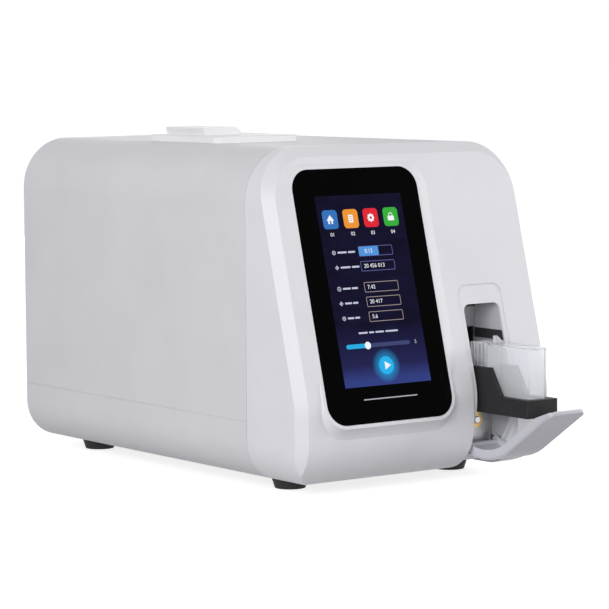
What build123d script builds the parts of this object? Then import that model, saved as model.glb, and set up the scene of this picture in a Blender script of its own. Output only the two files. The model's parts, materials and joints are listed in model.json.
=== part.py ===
from build123d import *
import os
from math import atan, cos, degrees, pi, radians, sin, sqrt, tan

# Bench-top glycated hemoglobin analyzer with a portrait touch screen on its sloping front, a motor
# driven reagent tray behind a drop-down flap, and a receipt printer in its top.
# Millimetres, X to the right seen from the front, Y to the rear, Z up, the table at Z = 0.
# Y = 0 is halfway between the tip of the open flap and the rearmost face.
# The tray is modelled out and the flap open, ready to be loaded.

# Body
body_width = 260.0
body_height = 267.0
body_depth = 438.8  # from where the screen plane would meet the underside to the rear face
housing_wall = 3.0
top_corner_radius = 43.5
bottom_corner_radius = 33.0
rear_edge_radius = 5.0
front_bevel = 8.0  # leg of the bevel between the side and the face
face_tilt = 14.87  # lean of the front face from the vertical, in degrees
face_setback = 1.5  # the face lies this far behind the glass
nose_radius = 59.7  # of the flap and of the recess floor round it
chin_radius = 38.0  # lower edge of the front elsewhere, under an upright chin
seam_setback = 19.76  # joint of the front housing, behind the top of its face
split_height = 49.0  # joint of the upper and lower housings, above the underside
groove_width = 0.7
groove_depth = 0.6
tongue_length = 4.0
tongue_wall = 1.6
fit_gap = 0.2  # between pieces that are pushed together by hand

# Feet
foot_height = 9.0
foot_top_radius = 15.5
foot_bottom_radius = 12.5
foot_spacing_x = 166.0
front_foot_distance = 98.8
rear_foot_distance = 388.8
foot_screw_radius = 2.0
foot_screw_head_radius = 4.0
foot_screw_head_height = 2.4
foot_screw_slot = (1.0, 5.0)  # width and length of each arm of the cross recess

# Screen
glass_width = 124.9
glass_height = 205.3
glass_thickness = 1.8
glass_corner_radius = 17.0
glass_centre_x = -42.8
glass_centre_height = 149.8  # above the underside
glass_gap = 0.3
glass_bed = 0.2  # adhesive bed behind the glass, filled by its pocket floor
rim_width = 3.0
pod_skirt = 14.0
pod_foot_skirt = 12.0
pod_skirt_top = 6.0
pod_foot_depth = 9.8
pod_curve = ((1.0, 1.0), (0.6, 0.42), (0.0, 0.0))  # share of the depth, of the skirt
lcd_width = 98.0
lcd_height = 166.0
lcd_thickness = 5.5
lcd_offset_x = 0.7
lcd_offset_up = 3.7
status_light_width = 53.6
status_light_height = 0.9
status_light_drop = 83.8  # below the middle of the glass
bracket_sheet = 1.2
bracket_side_margin = 8.0  # of the bracket, beyond the display panel's sides
bracket_end_inset = 10.0
bracket_rail_width = 28.0
bracket_bridge_height = 25.0
bracket_ear_width = 6.0
bracket_ear_height = 14.0
bracket_ear_inset = 25.0
display_standoff_radius = 2.5
display_standoff_inset = 5.0
display_board_width = 92.0
display_board_height = 120.0
display_board_gap = 6.0
display_board_hole_radius = 1.4
display_chip = 22.0
display_memory = (16.0, 12.0)
display_memory_offset = (-26.0, 34.0)
display_socket = (20.0, 8.0)
display_socket_offset = (24.0, -38.0)
board_thickness = 1.6

# Tray mouth and flap
slot_centre_x = 67.85
slot_width = 38.3
slot_top_height = 135.7  # above the underside
slot_bottom_height = 15.2
slot_corner_radius = 6.0
recess_width = 47.0
recess_top_height = 151.5
recess_corner_radius = 9.0
recess_depth = 1.0
pivot_angle = 45.0  # around the nose, below its foremost point
pivot_depth = 3.2
pivot_pin_radius = 1.0
pin_running_gap = 0.05
hinge_boss_width = 5.0
barrel_radius = 2.2
flap_open_angle = 71.0
flap_side_gap = 0.8
flap_top_gap = 1.2
flap_cover_thickness = 1.8
flap_skin = 1.2
flap_cheek_inset = 0.5
flap_cheek_wall = 1.3
flap_cheek_depth = 8.0
flap_corner_radius = 6.0

# Tray, cartridge and drive
tray_travel = 80.0
tray_side_gap = 0.4
tray_front_distance = -38.2  # of the tray's front, from the reference line, when out
tray_length = 120.0
tray_bottom_height = 49.0  # above the underside
tray_floor = 3.0
tray_rim_height = 14.5
tray_wall_height = 37.0
tray_wall = 4.7
tray_rim_length = 34.0
tray_slope_length = 14.0
cartridge_width = 17.8
cartridge_height = 52.5
cartridge_front_gap = 6.0  # from the tray's front to the cartridge's
cartridge_length = 54.4
cartridge_tail_length = 22.0
cartridge_tail_width = 14.6
cartridge_rib_count = 5
cartridge_skin = 1.4
cartridge_gap = 0.3
holder_width = 4.0
holder_height = 6.0
holder_length = 10.0
carriage_length = 18.0
carriage_height = 16.0
carriage_width = 30.0
rod_radius = 2.0
rod_spacing = 20.0
rod_drop = 10.0  # rods and screw below the tray's underside
screw_radius = 3.0
nut_radius = 5.5
nut_flange_radius = 7.0
nut_flange_thickness = 3.0
running_gap = 0.05
seat_gap = 0.3
bracket_wall = 2.0
bearing_wall = 3.5
bearing_length = 5.0
carriage_to_bearing = 14.0  # room for the nut's flange
carriage_to_wall = 6.0  # left when the tray is in
bracket_base_drop = 29.0  # top of the bracket's base below the tray's underside
motor_size = 28.0
motor_length = 32.0

# Reader
reader_length = 46.0
reader_set_back = 6.0  # behind the front of the carriage when the tray is out
reader_wall = 14.0
reader_side_gap = 1.2
reader_top_gap = 9.0
reader_roof = 28.0
lamp_radius = 7.0
lamp_length = 12.0
light_hole_radius = 2.5
heater_thickness = 4.0
lamp_board = (24.0, 30.0)
detector_board_size = (34.0, 40.0)
detector_chip = (12.0, 12.0)
amplifier_chip = (8.0, 5.0)
amplifier_offset = (-10.0, -14.0)
chip_height = 3.0
liner_depth = 52.0
liner_wall = 1.6
strip_thickness = 0.9
strip_height = 8.0
strip_drop = 31.0  # of the rubbing strips, below the top of the tray mouth

# Chassis and electronics
chassis_thickness = 2.0
chassis_boss_height = 2.0
chassis_margin = 27.0
chassis_screw_radius = 1.5
chassis_boss_radius = 5.0
chassis_boss_inset = 12.0
chassis_corner_radius = 8.0
board_standoff_height = 8.0
board_inset = 5.0
board_front_gap = 8.0
board_hole_inset = 5.0
board_hole_radius = 1.6
main_board_width = 116.0
main_board_length = 150.0
supply_width = 92.0
supply_length = 104.0
supply_height = 42.0
supply_inset = 20.0
supply_rear_gap = 4.0

# Components on the main board: middle x and y from the board's corner, width, length, height
component_table = (
    (30, 40, 24, 24, 3),
    (64, 40, 16, 20, 2),
    (92, 34, 18, 12, 2),
    (30, 84, 14, 22, 6),
    (58, 92, 20, 20, 9),
    (92, 80, 12, 30, 8),
    (34, 124, 30, 10, 9),
    (78, 128, 24, 14, 5),
)

# Rear panel
panel_width = 190.0
panel_height = 150.0
panel_bottom_height = 61.0
panel_thickness = 1.5
panel_ledge = 8.0
panel_screw_radius = 1.5
panel_screw_head_radius = 2.8
panel_screw_slot = (0.8, 3.6)
screw_slot_depth = 1.0
rear_projection = 1.6  # of screw heads, fan guard and inlet flanges
fan_size = 60.0
fan_depth = 15.0
fan_bore_radius = 28.5
fan_x = 52.0
fan_height = 165.0
fan_hub_radius = 12.0
fan_blade_count = 7
fan_blade_root = 10.0
fan_blade_chord = 13.0
fan_blade_thickness = 1.2
fan_blade_angle = 38.0
fan_tip_gap = 2.0
fan_axle_radius = 1.5
fan_hole_spacing = 50.0
fan_screw_radius = 1.5
fan_screw_head_radius = 2.6
fan_screw_head_height = 1.0
fan_screw_slot = (0.8, 3.4)
fan_strut_width = 3.0
guard_spoke_length = 26.0
guard_spoke_middle = 20.0
guard_wire = 1.6
guard_radii = (9.0, 15.5, 22.0, 28.5)
inlet_x = -58.0
inlet_height = 88.0
inlet_opening_width = 25.0
inlet_opening_height = 17.5
inlet_depth = 22.0
inlet_pin = (2.0, 4.0)
inlet_pin_places = ((-7.0, -1.5), (7.0, -1.5), (0.0, 1.5))
switch_x = -18.0
switch_depth = 18.0
rocker_width = 13.0
rocker_radius = 9.6
rocker_throw = 14.0  # degrees from off to on
rocker_middle = 4.0  # from the rocker's pivot out to the middle of its face
rocker_sink = 2.2  # of that middle, below the frame's face
socket_wall = 1.5
usb_opening = (12.8, 5.4)
usb_pitch = 9.0
network_opening = (11.8, 9.0)
vent_slot_length = 20.0
vent_slot_width = 3.0
vent_slot_count = 9
port_height = 140.0
usb_x = -66.0
network_x = -34.0
port_depth = 15.0

# Printer
printer_centre_x = -43.0
printer_width = 86.0
printer_length = 107.0
printer_front_distance = 193.8
bezel_height = 5.5
bezel_corner_radius = 8.0
bay_width = 70.0
bay_length = 62.0
bay_depth = 52.0
bay_front_offset = 34.0  # of the paper bay, behind the bezel's front
bay_wall = 2.0
lid_thickness = 2.6
lid_edge_gap = 0.4
lid_hump_width = 38.0
lid_hump_height = 6.5
hinge_inset_x = 7.5
hinge_height = 3.0
lid_pin_radius = 1.0
knuckle_radius = 2.2
knuckle_length = 6.0
platen_radius = 3.6
platen_inset = 5.0
platen_drop = 5.4
platen_shaft_radius = 1.5
platen_ear_half_width = 4.0
platen_ear_thickness = 2.0
platen_ear_inset = 1.0
lid_hump_offset = 3.5  # of the hump's overhanging tip, from the lid's hinge
lid_pin_reach = 4.0  # of the pin's ends, into the bezel
print_head_height = 14.5
print_head_rise = 3.5  # of its top, above the platen's axis
tear_bar_thickness = 0.8
tear_tooth_pitch = 2.0
tear_tooth_size = 1.1
paper_roll_radius = 20.0
paper_core_radius = 6.5
paper_core_wall = 1.2
paper_roll_side_gap = 6.0
paper_width = 57.5
slit_width = 4.0

# Reference lines and planes, worked out from the sizes above
lean = radians(face_tilt)
underside_z = foot_height
top_z = underside_z + body_height
nose_z = underside_z + nose_radius
pivot_arm = nose_radius - pivot_depth


def face_offset(z, depth):
    # Y from the reference line to the plane `depth` behind the glass, at height z
    return (z - underside_z) * tan(lean) + depth / cos(lean)


nose_offset = face_offset(nose_z + nose_radius * sin(lean), face_setback) + nose_radius * cos(lean)
pivot_offset = nose_offset - pivot_arm * cos(radians(pivot_angle))
pivot_z = nose_z - pivot_arm * sin(radians(pivot_angle))
flap_top_z = underside_z + slot_top_height - flap_top_gap
flap_tip_offset = face_offset(flap_top_z, face_setback)
open_turn = radians(flap_open_angle)
tip_reach = (
    pivot_offset
    + (flap_tip_offset - pivot_offset) * cos(open_turn)
    - (flap_top_z - pivot_z) * sin(open_turn)
)
front_y = -(tip_reach + body_depth + rear_projection) / 2

seam_distance = face_offset(top_z, face_setback) + seam_setback
seam_y = front_y + seam_distance
rear_y = front_y + body_depth
split_z = underside_z + split_height
nose_y = front_y + nose_offset
pivot_y = front_y + pivot_offset
glass_z = underside_z + glass_centre_height
glass_y = front_y + face_offset(glass_z, 0)
slot_left = slot_centre_x - slot_width / 2
slot_right = slot_centre_x + slot_width / 2

display_plane = Plane(
    origin=(glass_centre_x, glass_y, glass_z),
    x_dir=(1, 0, 0),
    z_dir=(0, -cos(lean), sin(lean)),
)
flap_profile_plane = Plane(
    origin=(0, pivot_y, pivot_z),
    x_dir=(0, cos(open_turn), sin(open_turn)),
    z_dir=(1, 0, 0),
)
flap_front_plane = Plane(
    origin=(slot_centre_x, pivot_y, pivot_z),
    x_dir=(1, 0, 0),
    z_dir=(0, -cos(open_turn), -sin(open_turn)),
)


def across(y):
    # Upright plane facing forward, with X and Z as its own axes
    return Plane.XZ.offset(-y)


def block(x, y, z, mode=Mode.ADD):
    # Box between two corners, each axis given as a (low, high) pair
    with Locations(((x[0] + x[1]) / 2, (y[0] + y[1]) / 2, (z[0] + z[1]) / 2)):
        Box(x[1] - x[0], y[1] - y[0], z[1] - z[0], mode=mode)


def save(piece, name):
    piece.part.label = name
    export_step(piece.part, f"parts/{name}.step")


def loaf(inset):
    # Section of the body across Y: large radii above, smaller ones below
    with BuildSketch() as section:
        with Locations((0, underside_z + body_height / 2)):
            Rectangle(body_width - 2 * inset, body_height - 2 * inset)
        rows = section.vertices().group_by(Axis.Y)
        fillet(rows[-1], top_corner_radius - inset)
        fillet(section.vertices().group_by(Axis.Y)[0], bottom_corner_radius - inset)
    return section.sketch


def side_profile(inset, origin_y=0.0, origin_z=0.0, low_radius=nose_radius):
    # Side view of the front end: the sloping face, rolled under by the nose arc, or rounded
    # to upright by it and then rolled under by a smaller one
    radius = nose_radius - inset
    floor_z = underside_z + inset
    foremost = nose_y - radius
    tangent = (nose_y - radius * cos(lean), nose_z + radius * sin(lean))
    ceiling = top_z + top_corner_radius
    with BuildSketch() as profile:
        with BuildLine():
            Polyline(
                (tangent[0] - origin_y, tangent[1] - origin_z),
                (front_y + face_offset(ceiling, face_setback + inset) - origin_y, ceiling - origin_z),
                (rear_y - origin_y, ceiling - origin_z),
                (rear_y - origin_y, floor_z - origin_z),
                (nose_y - origin_y, floor_z - origin_z),
            )
            ThreePointArc(
                (nose_y - origin_y, floor_z - origin_z),
                (
                    nose_y - radius * cos(radians(pivot_angle)) - origin_y,
                    nose_z - radius * sin(radians(pivot_angle)) - origin_z,
                ),
                (tangent[0] - origin_y, tangent[1] - origin_z),
            )
        make_face()
        if low_radius < nose_radius:
            with Locations((foremost + radius / 2, (floor_z + nose_z) / 2)):
                Rectangle(radius, nose_z - floor_z)
            corner = profile.vertices().sort_by(lambda point: point.X + point.Y)[0]
            fillet(corner, low_radius - inset)
    return profile.sketch


def bevel_section(plane, side_x, leg, radius):
    # Corner cut off both sides at `radius` from the plane's own middle
    with BuildSketch(plane) as section:
        with BuildLine():
            Polyline(
                (side_x - leg - 2, radius + 2),
                (side_x + 2, radius - leg - 2),
                (side_x + 2, radius + 2),
                close=True,
            )
        make_face()
        mirror(about=Plane.YZ)
    return section.sketch


def front_form(inset, low_radius=nose_radius):
    # Solid of the front end, `inset` inside the outer surface, open to nothing
    leg = front_bevel - inset * (2 - sqrt(2))
    side_x = body_width / 2 - inset
    radius = nose_radius - inset
    bevel_ends = []
    for shrink, depth in ((0, leg), (leg, 0)):
        slope = Plane(
            origin=(0, front_y + face_offset(glass_z, face_setback + inset + depth), glass_z),
            x_dir=(1, 0, 0),
            z_dir=(0, -cos(lean), sin(lean)),
        )
        with BuildPart() as shank:
            with BuildSketch(across(seam_y)):
                add(loaf(inset + shrink))
            extrude(amount=seam_distance + nose_radius)
            split(bisect_by=slope, keep=Keep.BOTTOM)
        bevel_ends.append(shank)
    # The bevel goes on round the nose and dies out in the lower corners
    sloped = Plane(
        origin=(0, nose_y, nose_z), x_dir=(1, 0, 0), z_dir=(0, -sin(lean), -cos(lean))
    )
    upright = Plane(origin=(0, nose_y, nose_z), x_dir=(1, 0, 0), z_dir=(0, 0, -1))
    low_middle = (0, nose_y - nose_radius + low_radius, underside_z + low_radius)
    low_plane = Plane(origin=low_middle, x_dir=(1, 0, 0), z_dir=(0, 0, -1))
    with BuildPart() as form:
        add(bevel_ends[0].part)
        loft([shank.faces().sort_by(Axis.Y)[0] for shank in bevel_ends], ruled=True)
        with BuildSketch(Plane.YZ):
            add(side_profile(inset, low_radius=low_radius))
        extrude(amount=body_width, both=True, mode=Mode.INTERSECT)
        revolve(
            bevel_section(sloped, side_x, leg, radius),
            axis=Axis((0, nose_y, nose_z), (1, 0, 0)),
            revolution_arc=face_tilt,
            mode=Mode.SUBTRACT,
        )
        if low_radius < nose_radius:
            extrude(
                bevel_section(upright, side_x, leg, radius),
                amount=nose_radius - low_radius,
                mode=Mode.SUBTRACT,
            )
        revolve(
            bevel_section(low_plane, side_x, leg, low_radius - inset),
            axis=Axis(low_middle, (1, 0, 0)),
            revolution_arc=90,
            mode=Mode.SUBTRACT,
        )
    return form.part


os.makedirs("parts", exist_ok=True)

# Front housing: the chin and face with the screen pod, the tray mouth and the flap's hinge bosses
front_outer = front_form(0.0, chin_radius)
front_inner = front_form(housing_wall)
front_recess_floor = front_form(recess_depth)

pod_top = glass_height / 2 + pod_skirt_top
pod_bottom = -glass_height / 2 - pod_skirt
pod_shallow = face_setback + groove_depth
nose_tangent_up = (nose_z + nose_radius * sin(lean) - glass_z) / cos(lean)


def pod_outline(share, reach):
    # Outline of the pod at a share of its depth, its skirt grown by that reach
    skirt = rim_width + reach * (pod_foot_skirt - rim_width)
    high = glass_height / 2 + rim_width + reach * (pod_skirt_top - rim_width)
    low = -glass_height / 2 - skirt
    turn = atan(share * (pod_foot_depth - pod_shallow) / (high - low))
    plane = Plane(
        origin=display_plane.from_local_coords(
            (0, (high + low) / 2, -share * (pod_foot_depth + pod_shallow) / 2)
        ),
        x_dir=(1, 0, 0),
        z_dir=(0, -cos(lean - turn), sin(lean - turn)),
    )
    with BuildSketch(plane) as outline:
        RectangleRounded(glass_width + 2 * skirt, high - low, glass_corner_radius + skirt)
    return outline.sketch.face()


with BuildPart() as pod_foot:
    loft([pod_outline(share, reach) for share, reach in pod_curve])

with BuildPart() as pod_flank:
    flank_height = pod_top - nose_tangent_up
    with BuildSketch(display_plane.offset(-pod_shallow)):
        with Locations((0, pod_top - flank_height / 2)):
            RectangleRounded(glass_width + 2 * pod_skirt, flank_height, glass_corner_radius + pod_skirt_top)
    with BuildSketch(display_plane):
        with Locations((0, glass_height / 2 + rim_width - flank_height / 2)):
            RectangleRounded(glass_width + 2 * rim_width, flank_height, glass_corner_radius + rim_width)
    loft()

with BuildPart() as recess_cut:
    recess_bottom = underside_z - 2 * recess_corner_radius
    recess_top = underside_z + recess_top_height
    with BuildSketch(across(pivot_y)) as recess_face:
        with Locations((slot_centre_x, (recess_bottom + recess_top) / 2)):
            RectangleRounded(recess_width, recess_top - recess_bottom, recess_corner_radius)
    extrude(amount=nose_radius)
    extrude(recess_face.sketch, amount=pivot_y - nose_y)
    add(front_recess_floor, mode=Mode.SUBTRACT)

hinge_boss_radius = barrel_radius + pin_running_gap + 1.5
with BuildPart() as hinge_bosses:
    for side in (slot_left - hinge_boss_width / 2, slot_right + hinge_boss_width / 2):
        with BuildSketch(Plane.YZ.offset(side)):
            with Locations((pivot_y, pivot_z)):
                Circle(hinge_boss_radius)
            with Locations((pivot_y + hinge_boss_radius, pivot_z)):
                Rectangle(2 * hinge_boss_radius, 2 * hinge_boss_radius)
        extrude(amount=hinge_boss_width / 2, both=True)
    add(front_recess_floor, mode=Mode.INTERSECT)

with BuildPart() as front_housing:
    add(front_outer)
    add(pod_foot.part)
    add(pod_flank.part)
    add(front_inner, mode=Mode.SUBTRACT)
    with BuildSketch(display_plane.offset(-face_setback - housing_wall)):
        RectangleRounded(glass_width - 4, glass_height - 4, glass_corner_radius)
    extrude(amount=-nose_radius, mode=Mode.SUBTRACT)
    # Pocket for the glass, and the window behind it
    with BuildSketch(display_plane):
        RectangleRounded(
            glass_width + 2 * glass_gap, glass_height + 2 * glass_gap, glass_corner_radius + glass_gap
        )
    extrude(amount=-glass_thickness - glass_bed, mode=Mode.SUBTRACT)
    with BuildSketch(display_plane):
        with Locations((lcd_offset_x, lcd_offset_up)):
            Rectangle(lcd_width + 2 * glass_gap, lcd_height + 2 * glass_gap)
    extrude(amount=-nose_radius, mode=Mode.SUBTRACT)
    # Lip that enters the main housing at the seam
    with BuildSketch(across(seam_y)):
        add(loaf(housing_wall - fit_gap))
        add(loaf(housing_wall + fit_gap + tongue_wall), mode=Mode.SUBTRACT)
    extrude(amount=2 * tongue_length)
    with BuildSketch(across(seam_y + tongue_length)):
        add(loaf(housing_wall + fit_gap))
        add(loaf(housing_wall + fit_gap + tongue_wall), mode=Mode.SUBTRACT)
    extrude(amount=tongue_length + fit_gap)
    # Half of the fine groove that marks the seam
    with BuildSketch(across(seam_y)):
        add(loaf(-1))
        add(loaf(groove_depth), mode=Mode.SUBTRACT)
    extrude(amount=groove_width / 2, mode=Mode.SUBTRACT)
    add(recess_cut.part, mode=Mode.SUBTRACT)
    add(hinge_bosses.part)
    # Tray mouth, open from the flap's foot to above the cartridge
    with BuildSketch(across(pivot_y)):
        slot_middle = underside_z + (slot_top_height + slot_bottom_height) / 2
        with Locations((slot_centre_x, slot_middle)):
            RectangleRounded(slot_width, slot_top_height - slot_bottom_height, slot_corner_radius)
    extrude(amount=nose_radius, both=True, mode=Mode.SUBTRACT)
    with BuildSketch(Plane.YZ.offset(slot_left - hinge_boss_width - 1)):
        with Locations((pivot_y, pivot_z)):
            Circle(pivot_pin_radius)
    extrude(amount=slot_width + 2 * hinge_boss_width + 2, mode=Mode.SUBTRACT)
save(front_housing, "front_housing")

# Main housing: a sleeve with a closed rear, split into an upper and a lower shell
bay_front_y = front_y + printer_front_distance + bay_front_offset
bay_x = (printer_centre_x - bay_width / 2, printer_centre_x + bay_width / 2)
bay_y = (bay_front_y, bay_front_y + bay_length)
panel_middle_z = underside_z + panel_bottom_height + panel_height / 2

with BuildPart() as sleeve_outer:
    with BuildSketch(across(rear_y)):
        add(loaf(0))
    extrude(amount=rear_y - seam_y)
    fillet(sleeve_outer.faces().sort_by(Axis.Y)[-1].edges(), rear_edge_radius)
    # Fine grooves at the seam and along the split
    with BuildSketch(across(seam_y + groove_width / 2)):
        add(loaf(-1))
        add(loaf(groove_depth), mode=Mode.SUBTRACT)
    extrude(amount=groove_width / 2, mode=Mode.SUBTRACT)
    groove_band = (split_z - groove_width / 2, split_z + groove_width / 2)
    for x in (
        (-body_width, groove_depth - body_width / 2),
        (body_width / 2 - groove_depth, body_width),
    ):
        block(x, (seam_y - 1, rear_y + 1), groove_band, Mode.SUBTRACT)
    block((-body_width, body_width), (rear_y - groove_depth, rear_y + 1), groove_band, Mode.SUBTRACT)

with BuildPart() as sleeve_inner:
    with BuildSketch(across(rear_y - housing_wall)):
        add(loaf(housing_wall))
    extrude(amount=rear_y - housing_wall - seam_y + 1)

with BuildPart() as upper_housing:
    add(sleeve_outer.part)
    add(sleeve_inner.part, mode=Mode.SUBTRACT)
    split(bisect_by=Plane.XY.offset(split_z), keep=Keep.TOP)
    # Opening for the paper bay
    block(
        (bay_x[0] - fit_gap, bay_x[1] + fit_gap),
        (bay_y[0] - fit_gap, bay_y[1] + fit_gap),
        (top_z - 2 * housing_wall, top_z + 1),
        Mode.SUBTRACT,
    )
    # Seat and window for the rear panel
    with BuildSketch(across(rear_y)):
        with Locations((0, panel_middle_z)):
            Rectangle(panel_width + 2 * fit_gap, panel_height + 2 * fit_gap)
    extrude(amount=panel_thickness, mode=Mode.SUBTRACT)
    with BuildSketch(across(rear_y)):
        with Locations((0, panel_middle_z)):
            Rectangle(panel_width - 2 * panel_ledge, panel_height - 2 * panel_ledge)
    extrude(amount=2 * housing_wall, mode=Mode.SUBTRACT)
save(upper_housing, "upper_housing")

chassis_z = underside_z + housing_wall + chassis_boss_height
chassis_x = (chassis_margin - body_width / 2, body_width / 2 - chassis_margin)
chassis_y = (seam_y + tongue_length + 2, rear_y - chassis_margin)
chassis_bosses = [
    (x, y)
    for x in (chassis_x[0] + chassis_boss_inset, chassis_x[1] - chassis_boss_inset)
    for y in (chassis_y[0] + 32, (chassis_y[0] + chassis_y[1]) / 2 + 20, chassis_y[1] - 60)
]
foot_positions = [
    (x, front_y + d)
    for x in (-foot_spacing_x / 2, foot_spacing_x / 2)
    for d in (front_foot_distance, rear_foot_distance)
]
foot_boss_radius = foot_screw_head_radius + 2
lip_inset = housing_wall + fit_gap

with BuildPart() as lower_housing:
    add(sleeve_outer.part)
    add(sleeve_inner.part, mode=Mode.SUBTRACT)
    split(bisect_by=Plane.XY.offset(split_z), keep=Keep.BOTTOM)
    # Lip along both long sides, which enters the upper shell
    for side in (-1, 1):
        inner = side * (body_width / 2 - lip_inset - tongue_wall)
        outer = side * (body_width / 2 - lip_inset)
        root = side * (body_width / 2 - housing_wall + fit_gap)
        lip_y = (seam_y + 2 * tongue_length, rear_y - housing_wall - rear_edge_radius)
        block(sorted((inner, root)), lip_y, (split_z - 2 * tongue_length, split_z - fit_gap))
        block(sorted((inner, outer)), lip_y, (split_z - tongue_length, split_z + tongue_length))
    # Bosses for the chassis plate
    with BuildSketch(Plane.XY.offset(underside_z + housing_wall / 2)):
        with Locations(*chassis_bosses):
            Circle(chassis_boss_radius)
    extrude(amount=chassis_z - underside_z - housing_wall / 2)
    with BuildSketch(Plane.XY.offset(underside_z + housing_wall / 2)):
        with Locations(*chassis_bosses):
            Circle(chassis_screw_radius)
    extrude(amount=chassis_z, mode=Mode.SUBTRACT)
    # Screw holes over the feet
    with BuildSketch(Plane.XY.offset(underside_z - 1)):
        with Locations(*foot_positions):
            Circle(foot_screw_radius)
    extrude(amount=housing_wall + 2, mode=Mode.SUBTRACT)
save(lower_housing, "lower_housing")

# Feet and their screws
foot_recess = foot_screw_head_height + 1.6
with BuildPart() as feet:
    for x, y in foot_positions:
        with Locations((x, y, foot_height / 2)):
            Cone(foot_bottom_radius, foot_top_radius, foot_height)
    with BuildSketch(Plane.XY):
        with Locations(*foot_positions):
            Circle(foot_screw_head_radius + 0.5)
    extrude(amount=foot_recess, mode=Mode.SUBTRACT)
    with BuildSketch(Plane.XY):
        with Locations(*foot_positions):
            Circle(foot_screw_radius)
    extrude(amount=foot_height, mode=Mode.SUBTRACT)
save(feet, "feet")

with BuildPart() as foot_screws:
    with BuildSketch(Plane.XY.offset(foot_recess - foot_screw_head_height)):
        with Locations(*foot_positions):
            Circle(foot_screw_head_radius)
    extrude(amount=foot_screw_head_height)
    with BuildSketch(Plane.XY.offset(foot_recess)):
        with Locations(*foot_positions):
            Circle(foot_screw_radius)
    extrude(amount=foot_height - foot_recess + housing_wall)
    with BuildSketch(Plane.XY.offset(foot_recess - foot_screw_head_height)):
        with Locations(*foot_positions):
            Rectangle(foot_screw_slot[0], foot_screw_slot[1])
            Rectangle(foot_screw_slot[1], foot_screw_slot[0])
    extrude(amount=1.2, mode=Mode.SUBTRACT)
save(foot_screws, "foot_screws")

# Screen: cover glass, display panel, the light under it, bracket and driver board
with BuildPart() as touch_glass:
    with BuildSketch(display_plane):
        RectangleRounded(glass_width, glass_height, glass_corner_radius)
    extrude(amount=-glass_thickness)
    with BuildSketch(display_plane):
        with Locations((lcd_offset_x, -status_light_drop)):
            SlotOverall(status_light_width, status_light_height)
    extrude(amount=-glass_thickness, mode=Mode.SUBTRACT)
save(touch_glass, "touch_glass")

with BuildPart() as status_light:
    with BuildSketch(display_plane):
        with Locations((lcd_offset_x, -status_light_drop)):
            SlotOverall(status_light_width, status_light_height)
    extrude(amount=-glass_thickness - glass_bed)
save(status_light, "status_light")

lcd_plane = display_plane.offset(-glass_thickness)
with BuildPart() as lcd_module:
    with BuildSketch(lcd_plane):
        with Locations((lcd_offset_x, lcd_offset_up)):
            Rectangle(lcd_width, lcd_height)
    extrude(amount=-lcd_thickness)
    with BuildSketch(lcd_plane.offset(-lcd_thickness)):
        with Locations((lcd_offset_x, lcd_offset_up)):
            Rectangle(lcd_width - 8, lcd_height - 8)
            Rectangle(lcd_width - 12, lcd_height - 12, mode=Mode.SUBTRACT)
    extrude(amount=0.6, mode=Mode.SUBTRACT)
save(lcd_module, "lcd_module")

display_bracket_plane = lcd_plane.offset(-lcd_thickness)
bracket_depth = glass_thickness + lcd_thickness
standoff_grid = (
    display_board_width - 2 * display_standoff_inset,
    display_board_height - 2 * display_standoff_inset,
)
bracket_outer = (lcd_width + 2 * bracket_side_margin, lcd_height - 2 * bracket_end_inset)
with BuildPart() as display_bracket:
    with BuildSketch(display_bracket_plane):
        with Locations((lcd_offset_x, lcd_offset_up)):
            Rectangle(*bracket_outer)
            Rectangle(
                bracket_outer[0] - 2 * bracket_rail_width,
                bracket_outer[1] - 2 * bracket_bridge_height,
                mode=Mode.SUBTRACT,
            )
    extrude(amount=-bracket_sheet)
    # Ears that reach forward to the back of the face on both long sides
    with BuildSketch(display_bracket_plane):
        with Locations((lcd_offset_x, lcd_offset_up)):
            with GridLocations(
                bracket_outer[0] - bracket_ear_width, lcd_height - 2 * bracket_ear_inset, 2, 2
            ):
                Rectangle(bracket_ear_width, bracket_ear_height)
    extrude(amount=bracket_depth - face_setback - housing_wall)
    with BuildSketch(display_bracket_plane.offset(-bracket_sheet)):
        with Locations((lcd_offset_x, lcd_offset_up)):
            with GridLocations(standoff_grid[0], standoff_grid[1], 2, 2):
                Circle(display_standoff_radius)
    extrude(amount=-display_board_gap)
save(display_bracket, "display_bracket")

with BuildPart() as display_board:
    board_plane = display_bracket_plane.offset(-bracket_sheet - display_board_gap)
    with BuildSketch(board_plane):
        with Locations((lcd_offset_x, lcd_offset_up)):
            Rectangle(display_board_width, display_board_height)
            with GridLocations(standoff_grid[0], standoff_grid[1], 2, 2):
                Circle(display_board_hole_radius, mode=Mode.SUBTRACT)
    extrude(amount=-board_thickness)
    with BuildSketch(board_plane.offset(-board_thickness)):
        with Locations((lcd_offset_x, lcd_offset_up)):
            Rectangle(display_chip, display_chip)
            with Locations(display_memory_offset):
                Rectangle(*display_memory)
            with Locations(display_socket_offset):
                Rectangle(*display_socket)
    extrude(amount=-chip_height)
save(display_board, "display_board")

# Flap: an outer cover with an inner frame whose cheeks hide the gap beside the tray
flap_width = slot_width - 2 * flap_side_gap
frame_width = flap_width - 2 * flap_cheek_inset
flap_well_width = frame_width - 2 * flap_cheek_wall
flap_up = flap_top_z - pivot_z


def flap_layer(outer_depth, inner_depth, width):
    # One layer of the flap between two depths behind the face, from the hinge up
    with BuildPart() as layer:
        with BuildSketch(flap_profile_plane.offset(slot_centre_x)):
            add(side_profile(outer_depth, pivot_y, pivot_z))
            add(side_profile(inner_depth, pivot_y, pivot_z), mode=Mode.SUBTRACT)
            with Locations((0, flap_up / 2)):
                Rectangle(4 * nose_radius, flap_up, mode=Mode.INTERSECT)
        extrude(amount=width / 2, both=True)
    return layer.part


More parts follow.
